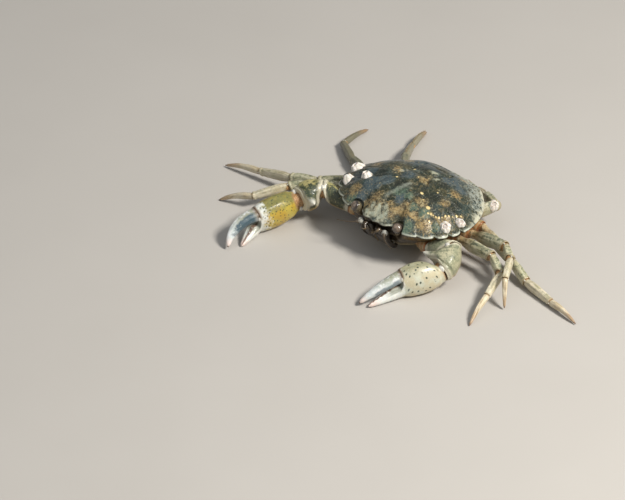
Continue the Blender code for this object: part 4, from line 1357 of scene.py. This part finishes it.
def leg_look(part):
    """Cream shell with olive-green mottling above, tan joints, and brown claws."""
    look = Look(f"leg_{part}_look", 0.4, 0.15, 0.05)
    light, second, dark, mottling, tan = LEG_COLOURS[part]
    middle = look.noise(1.3, 4.0, 0.6)
    fine = look.noise(0.45)
    streaks = look.noise(0.9, vector=look.stretched(look.mark("skin", "Vector"), (0.12, 1.0, 1.0)))
    colour = look.paint(
        look.mix((look.noise(4.0), 0.38, 0.62), light, second),
        (dark, (middle, 0.47, 0.6), ("top", -0.2, 0.7), mottling),
        ((0.58, 0.47, 0.3), ("top", -0.2, -0.8), 0.5),
        ((0.42, 0.26, 0.11), ("along", 0.6, 0.1), tan),
        (times(light, 1.25), (streaks, 0.5, 0.62), 0.4),
        (dark, (streaks, 0.46, 0.34), 0.55),
        ((0.62, 0.58, 0.42), (fine, 0.62, 0.74), 0.4),
        (times(dark, 0.5), (fine, 0.4, 0.28), 0.5),
        ((0.34, 0.24, 0.12), ("end", 0.6, 0.15), 0.55),
        ((0.6, 0.54, 0.38), ("end", 1.8, 0.9), ("end", 0.5, 0.9), 0.4),
        # Painted shade: a dark olive coat over the legs on the shaded side, partly their own grey-green
        # tone.
        ((0.115, 0.11, 0.07), "shade", 0.75),
    )
    if part == "dactylus":
        colour = look.paint(
            colour,
            ((0.34, 0.2, 0.1), ("along", 0.45, 0.85), 0.6),
            ((0.2, 0.12, 0.07), ("along", 0.9, 0.98)),
        )
    return look.finish(colour, look.linear(middle, 0.6, fine), 0.08, look.linear(middle, 0.25, 0.28))


def membrane_look():
    look = Look("joint_membrane", 0.46, 0.1, 0.15)
    colour = look.mix((look.noise(0.9), 0.35, 0.65), (0.46, 0.27, 0.12), (0.31, 0.17, 0.075))
    return look.finish(colour, look.noise(0.35, 4.0), 0.12)


def knob_look():
    look = Look("condyle_white", 0.28, 0.3)
    colour = look.mix((look.noise(0.8), 0.4, 0.65), (0.66, 0.64, 0.56), (0.42, 0.42, 0.4))
    return look.finish(colour, look.noise(0.3), 0.04)


# ---------------------------------------------------------------- claws


def claw_merus_form(at, angle):
    ridge = ridges(angle, (0.09, 90, 16), (0.08, 10, 15), (0.08, 170, 15))
    return 1 + ridge * ease(at, 0.1, 0.4) + rings(at, (0.06, 0.95, 0.03), (-0.05, 0.88, 0.03))


def palm_form(at, angle):
    crest = ridges(angle, (0.035, 72, 12), (0.03, 108, 12), (-0.015, 90, 9))
    return 1 + crest * ease(at, 0.15, 0.5) + rings(at, (0.045, 0.03, 0.03), (-0.04, 0.1, 0.03))


def claw_carpus(name, limb):
    """The wrist segment, with the spine on its inner side and a raised rim round its socket."""

    def form(at, angle):
        ridge = ridges(angle, (0.05, 90 + 38 * limb.side, 14)) * bell(at - 0.6, 0.3)
        return 1 + ridge + rings(at, (0.05, 0.93, 0.03), (-0.06, 0.84, 0.035), (0.05, 0.05, 0.04))

    grid, marks = shaft(limb, 2, CLAW_CARPUS, *CLAW_CARPUS_GRID, CLAW_OPEN["carpus"], form, seed=40)
    start, end = limb.points[2:4]
    inner = unit(mirrored(SPINE_DIRECTION, limb.side))
    row = grid[int(0.58 * len(grid))]
    spine_base = row[np.argmax((row - start - (end - start) * SPINE_PLACE) @ inner)]
    off = np.linalg.norm(grid - spine_base - 0.2 * inner, axis=-1)
    lift = np.clip(1 - off / SPINE_WIDTH, 0, 1)
    grid = grid + inner * (1.12 * CARPAL_SPINE * lift**1.5)[..., None]
    marks["spine"] = ease(lift, 0.3, 0.9)
    surface = Surface(*socketed(on_ground(grid), marks, depth=1.6))
    shell(f"claw_{name}_carpus", CLAW_ARM_LOOKS[name], surface)


def reached(reach, side):
    """A reach given as out, ahead and up, in the crab's frame."""
    return mirrored(reach, side) * (1, -1, 1)


def finger(start, tip, normal, base, bow, lean, cutting, seed, taper, rows=74, sides=64):
    """A finger with a row of rounded teeth along its cutting side, 1 above or -1 below."""
    middle = (start + tip) / 2 + bow
    part = np.linspace(0, 1, rows)[:, None]
    path = bezier(start, middle, tip, rows)
    ahead = unit((middle - start) * (1 - part) + (tip - middle) * part)
    turn = np.minimum(1.0, 2.5 * part)
    frame = frame_of(unit(normal * (1 - turn) + ahead * turn), lean)
    fade = 1 - part**taper
    a, b = section(*(least + (most - least) * fade for least, most in zip(FINGER_TIP, base)), sides)
    angle = circle(sides)
    cut = around(angle, 90 * cutting, 17)
    run = run_of(path)[:, None]
    tooth = np.abs(np.sin(math.pi * run / TOOTH_SPACING + 0.4)) * ease(part, 0.1, 0.3)
    tooth = tooth * (1.1 - 0.6 * part) * (0.75 + 0.25 * np.cos(2.1 * run + seed))
    grooves = ridges(angle, (-0.06, 25, 10), (-0.06, 155, 10), (-0.05, 60, 9), (-0.05, 120, 9))
    size = 1 + ridges(angle, (-0.1, 90 * cutting, 55)) + grooves * bell(part - 0.45, 0.4)
    grid = laid(path[:, None], frame, a * size, b * size + cutting * TOOTH_HEIGHT * tooth * cut)
    grid = grid + (0.05 * grain(grid, 2.0, seed))[..., None] * UP
    blunt = 0.5 * ease(part, 0.93, 1.0)[..., None]
    grid = grid * (1 - blunt) + blunt * grid.mean(axis=1, keepdims=True)
    marks = {
        "along": part,
        "gape": cut,
        "back": around(angle, -90 * cutting, 60),
        "tooth": np.clip(tooth, 0, 1) * cut,
        "side": np.cos(angle),
        "top": np.sin(angle),
    }
    return grid, {mark: np.broadcast_to(values, (rows, sides)) for mark, values in marks.items()}


def palm_with_finger(palm, palm_marks, pollex, finger_marks, axis):
    """The palm run on into its fixed finger: its lower side straight, its upper side down a step."""
    part = np.linspace(0, 1, BRIDGE_ROWS)[:-1, None]
    slow = 1 + 2 * np.clip(np.sin(circle(palm.shape[1])), 0, 1)
    span = pollex[BRIDGE_REACH] - palm[-1]
    forward = span @ axis
    drop = span - forward[:, None] * axis
    bridge = palm[-1] + (1 - (1 - part) ** slow)[..., None] * drop + (part**slow * forward)[..., None] * axis
    whole = np.concatenate([palm[:-1], bridge, pollex[BRIDGE_REACH:]])
    marks = {}
    for mark, values in finger_marks.items():
        near = palm_marks.get(mark, np.zeros(palm.shape[:2]))[:-1]
        far = values[BRIDGE_REACH:] + (mark == "along")
        marks[mark] = np.concatenate([near, near[-1] + (far[0] - near[-1]) * part, far])
    marks["end"] = np.full(whole.shape[:2], END_REACH)
    marks["end"][:len(palm) // 2] = palm_marks["end"][:len(palm) // 2]
    marks["skin"] = palm_marks["skin"][np.minimum(np.arange(len(whole)), len(palm) - 1)]
    return whole, marks


def claw(name, limb):
    node = f"claw_{name}"
    merus = shaft(limb, 1, CLAW_MERUS, *CLAW_MERUS_GRID, CLAW_OPEN["merus"], claw_merus_form, seed=31)
    shell(f"{node}_merus", CLAW_ARM_LOOKS[name], Surface(*socketed(*merus, depth=1.3)))
    claw_carpus(name, limb)

    wrist, hinge = limb.points[3:]
    axis = unit(hinge - wrist)
    lean = limb.side * CLAW_LEAN[name]
    across, up = frame_of(axis, lean)
    profile = [(part, height * CLAW_SIZE[name], width * CLAW_SIZE[name]) for part, height, width in PALM]
    pollex_base, dactylus_base = np.array((POLLEX_BASE, DACTYLUS_BASE)) * CLAW_SIZE[name]
    half = profile[-1][1] / 2
    low = hinge - up * (half - POLLEX_INSET - pollex_base[0] / 2)
    high = hinge + up * (half - DACTYLUS_INSET - dactylus_base[0] / 2) + axis * 2 * HALF_GAP
    tips = {part: hinge + reached(reach, limb.side) for part, reach in FINGER_TIPS[name].items()}

    size = (PALM_SIDES, PALM_ROWS)
    palm, palm_marks = shaft(limb, 3, profile, *size, CLAW_OPEN["palm"], palm_form, 50, lean=lean)
    sag = reached(POLLEX_SAG, limb.side)
    form = (pollex_base, sag, lean)
    pollex, marks = finger(low, tips["pollex"], axis, *form, 1, 61, POLLEX_TAPER, POLLEX_ROWS, PALM_SIDES)
    whole, marks = palm_with_finger(palm, palm_marks, pollex, marks, axis)
    surface = Surface(*socketed(on_ground(whole), marks, end=False))
    shell(f"{node}_palm", PALM_LOOKS[name], surface)

    arch = reached(DACTYLUS_ARCH[name], limb.side)
    root = high - axis * DACTYLUS_DEPTH
    grid, marks = finger(root, tips["dactylus"], axis, dactylus_base, arch, lean, -1, 71, DACTYLUS_TAPER)
    surface = Surface(*socketed(on_ground(grid), marks, end=False))
    shell(f"{node}_dactylus", FINGER_LOOKS[name], surface)

    axes = (across, axis, up)
    skin = ball(root, (dactylus_base[1] * 0.46, 2.2, dactylus_base[0] * 0.5), axes, 16, 32)
    offset = across * dactylus_base[1] * 0.47
    knobs = [ball(high - axis * 0.4 + side * offset, HINGE_KNOB, axes) for side in SIDES.values()]
    joint_pieces(node, limb, CLAW_MEMBRANES, CLAW_CONDYLES, [skin], knobs)


def claw_arm_look(name, light, green, dark, depth, front, rim, rim_width):
    """Mottled arm, darker on the side that faces forward by depth, partly its own dark green and partly
    painted shade, with a pale rim at each joint.
    """
    look = Look(f"claw_arm_{name}_look", 0.38, 0.2)
    middle = look.noise(1.6, 4.0, 0.6)
    fine = look.noise(0.5)
    ragged = look.linear(middle, 1.6, -0.8)
    colour = look.paint(
        look.mix((look.noise(5.0), 0.36, 0.62), light, green),
        (dark, (middle, 0.46, 0.62), ("top", -0.1, 0.8), 0.7),
        ((0.5, 0.31, 0.15), ("top", 0.1, -0.7), 0.75),
        # Painted shade on the forward side, over the arm's own dark green.
        (dark, (look.linear("side", front, ragged), -0.2, 0.4), ("top", -0.75, -0.35), depth),
        (times(light, 1.4), (fine, 0.58, 0.7), 0.6),
        (times(dark, 0.4), (fine, 0.42, 0.3), 0.6),
        ((0.6, 0.56, 0.43), (look.math("ADD", "end", ragged), rim_width, 0.3 * rim_width), rim),
        ((0.72, 0.7, 0.61), "spine", 0.95),
    )
    height = look.math("SUBTRACT", fine, look.cells(0.7, "SMOOTH_F1"))
    return look.finish(colour, height, 0.1, look.linear(middle, 0.25, 0.26))


def palm_look(name, light, warm, crest, dot_gap, dot_size, white_from):
    """Pale palm, olive along its upper edge, with rows of small dark green dots.

    along is 0 to 1 on the palm and 1 to 2 on its fixed finger.
    """
    look = Look(f"palm_{name}_look", 0.36, 0.2, 0.06)
    middle = look.noise(1.5, 4.0, 0.6)
    fine = look.noise(0.4)
    ragged = look.linear(middle, 0.7, -0.35)
    whitened = look.math("ADD", "along", ragged)
    dots = look.cells(dot_gap, vector=look.mark("skin", "Vector"), randomness=0.8, dimensions="2D")
    edge = dot_size / 2 / dot_gap
    dots = look.both((dots, 1.25 * edge, 0.75 * edge), ("along", 0.98, 0.9), ("along", 0.08, 0.16),
                     ("top", -0.85, -0.6), (look.noise(3.1, 1.0), 0.33, 0.42))
    colour = look.paint(
        look.mix((look.noise(4.5), 0.38, 0.62), light, warm),
        (crest, (look.math("ADD", "top", ragged), 0.5, 1.05), 0.9),
        ((0.66, 0.54, 0.34), ("top", -0.4, -0.9), 0.7),
        (times(light, 1.2, 0.9), (fine, 0.58, 0.72), 0.4),
        (times(warm, 0.6), (fine, 0.42, 0.3), 0.35),
        ((0.72, 0.74, 0.7), (whitened, white_from, white_from + 0.22), 0.9),
        ((0.022, 0.04, 0.024), dots, 0.92),
        ((0.14, 0.085, 0.045), ("along", 0.93, 1.0), ("along", 1.05, 1.0), ("top", 0.45, 0.8)),
        ((0.5, 0.55, 0.58), ("along", 1.1, 1.5), (middle, 0.4, 0.6), 0.35),
        ((0.2, 0.21, 0.15), ("along", 1.02, 1.12), ("along", 1.55, 1.3), ("top", 0.25, 0.6), 0.75),
        ((0.66, 0.5, 0.44), ("along", 1.6, 1.92), 0.8),
        GAPE_BROWN_AND_SHADE,
        ((0.3, 0.18, 0.09), ("end", 1.0, 0.2), 0.8),
    )
    return look.finish(colour, look.linear(middle, 0.5, fine), 0.06, look.linear(middle, 0.25, 0.26))


def finger_look(name, stripe_top, stripe_strength, stripe_side):
    """The moving finger: white, olive along its back, with a dark teal stripe on each side."""
    look = Look(f"moving_finger_{name}_look", 0.32, 0.25, 0.06)
    middle = look.noise(1.6, 4.0, 0.6)
    fine = look.noise(0.4)
    ragged = look.linear(middle, 0.9, -0.45)
    stripe = look.both(
        (look.math("ADD", "top", ragged), stripe_top + 0.2, stripe_top - 0.15), ("top", -0.98, -0.85),
        (look.math("ADD", "side", ragged), stripe_side + 0.25, stripe_side - 0.15),
        ("along", 0.02, 0.14), (look.math("ADD", "along", ragged), 0.85, 0.5),
    )
    colour = look.paint(
        look.mix((middle, 0.36, 0.64), (0.74, 0.76, 0.75), (0.56, 0.62, 0.61)),
        ((0.24, 0.24, 0.13), "back", ("along", 0.75, 0.2), (middle, 0.3, 0.55), 0.8),
        ((0.02, 0.06, 0.085), stripe, stripe_strength),
        ((0.66, 0.7, 0.68), ("gape", 0.01, 0.06), 0.8),
        ((0.13, 0.08, 0.045), ("along", 0.12, 0.02), ("top", -0.1, 0.4)),
        ((0.72, 0.58, 0.52), ("along", 0.75, 0.95), 0.8),
        ((0.12, 0.07, 0.05), ("along", 0.965, 0.99)),
        GAPE_BROWN_AND_SHADE,
        ((0.8, 0.8, 0.76), (fine, 0.62, 0.74), 0.4),
    )
    return look.finish(colour, fine, 0.05)


# ---------------------------------------------------------------- stage


def aimed(data, target, azimuth, elevation, distance):
    """A camera or lamp at a distance from its target, looking at it. Azimuth 0 is in front of the crab."""
    back = Vector(pointing(azimuth - 90, elevation))
    piece = bpy.data.objects.new(data.name, data)
    piece.location = Vector(target) + distance * back
    piece.rotation_euler = (-back).to_track_quat("-Z", "Y").to_euler()
    bpy.context.scene.collection.objects.link(piece)
    return piece


def stage():
    scene = bpy.context.scene
    camera = bpy.data.cameras.new("camera")
    camera.lens = LENS
    camera.sensor_width = SENSOR
    camera.clip_start = CLIP_START
    scene.camera = aimed(camera, (np.array(AIM) + SHIFT) * MM, AZIMUTH, ELEVATION, DISTANCE)
    for name, azimuth, elevation, distance, size, power, colour in LAMPS:
        lamp = bpy.data.lights.new(name, "AREA")
        lamp.size = size
        lamp.energy = power
        lamp.color = colour
        aimed(lamp, (0, 0, 0), azimuth, elevation, distance)
    world = bpy.data.worlds.new("studio")
    world.use_nodes = True
    background = world.node_tree.nodes["Background"]
    background.inputs["Color"].default_value = SKY
    background.inputs["Strength"].default_value = SKY_STRENGTH
    scene.world = world
    scene.view_settings.view_transform = "Standard"

    mesh = bpy.data.meshes.new("floor")
    corners = [(x * FLOOR_REACH, y * FLOOR_REACH, 0) for x, y in ((-1, -1), (1, -1), (1, 1), (-1, 1))]
    mesh.from_pydata(corners, [], [(0, 1, 2, 3)])
    look = Look("studio_floor", 0.7)
    colour = look.mix(look.noise(60.0, 2.0), (0.43, 0.41, 0.38), (0.46, 0.44, 0.41))
    mesh.materials.append(look.finish(colour))
    floor = bpy.data.objects.new("floor", mesh)
    scene.collection.objects.link(floor)


# ---------------------------------------------------------------- build

BARNACLE_LOOK = barnacle_look()
EYE_LOOK = eye_look()
ANTENNA_LOOK = antenna_look()
HAIR_LOOK = hair_look()
MEMBRANE_LOOK = membrane_look()
KNOB_LOOK = knob_look()
LEG_LOOKS = {part: leg_look(part) for part in SEGMENTS}
CLAW_ARM_LOOKS = {name: claw_arm_look(name, *values) for name, values in CLAW_ARM_COLOURS.items()}
PALM_LOOKS = {name: palm_look(name, *values) for name, values in PALM_COLOURS.items()}
FINGER_LOOKS = {name: finger_look(name, *values) for name, values in FINGER_STRIPES.items()}

stage()
legs = {
    (name, number): Limb(SIDES[name], LEG_ROOTS[number], LEG_BASES[number], pose)
    for (name, number), pose in LEG_POSES.items()
}
claws = {name: Limb(SIDES[name], CLAW_ROOT, CLAW_BASE, pose) for name, pose in CLAW_POSES.items()}
carapace()
barnacles()
body()
coxae([(limb, LEG_COXA) for limb in legs.values()] + [(limb, CLAW_COXA) for limb in claws.values()])
abdomen()
mouth_details()
for name, side in SIDES.items():
    maxilliped(name, side)
    eye(name, side)
    antenna(name, side)
    claw(name, claws[name])
for (name, number), limb in legs.items():
    leg(name, number, limb)
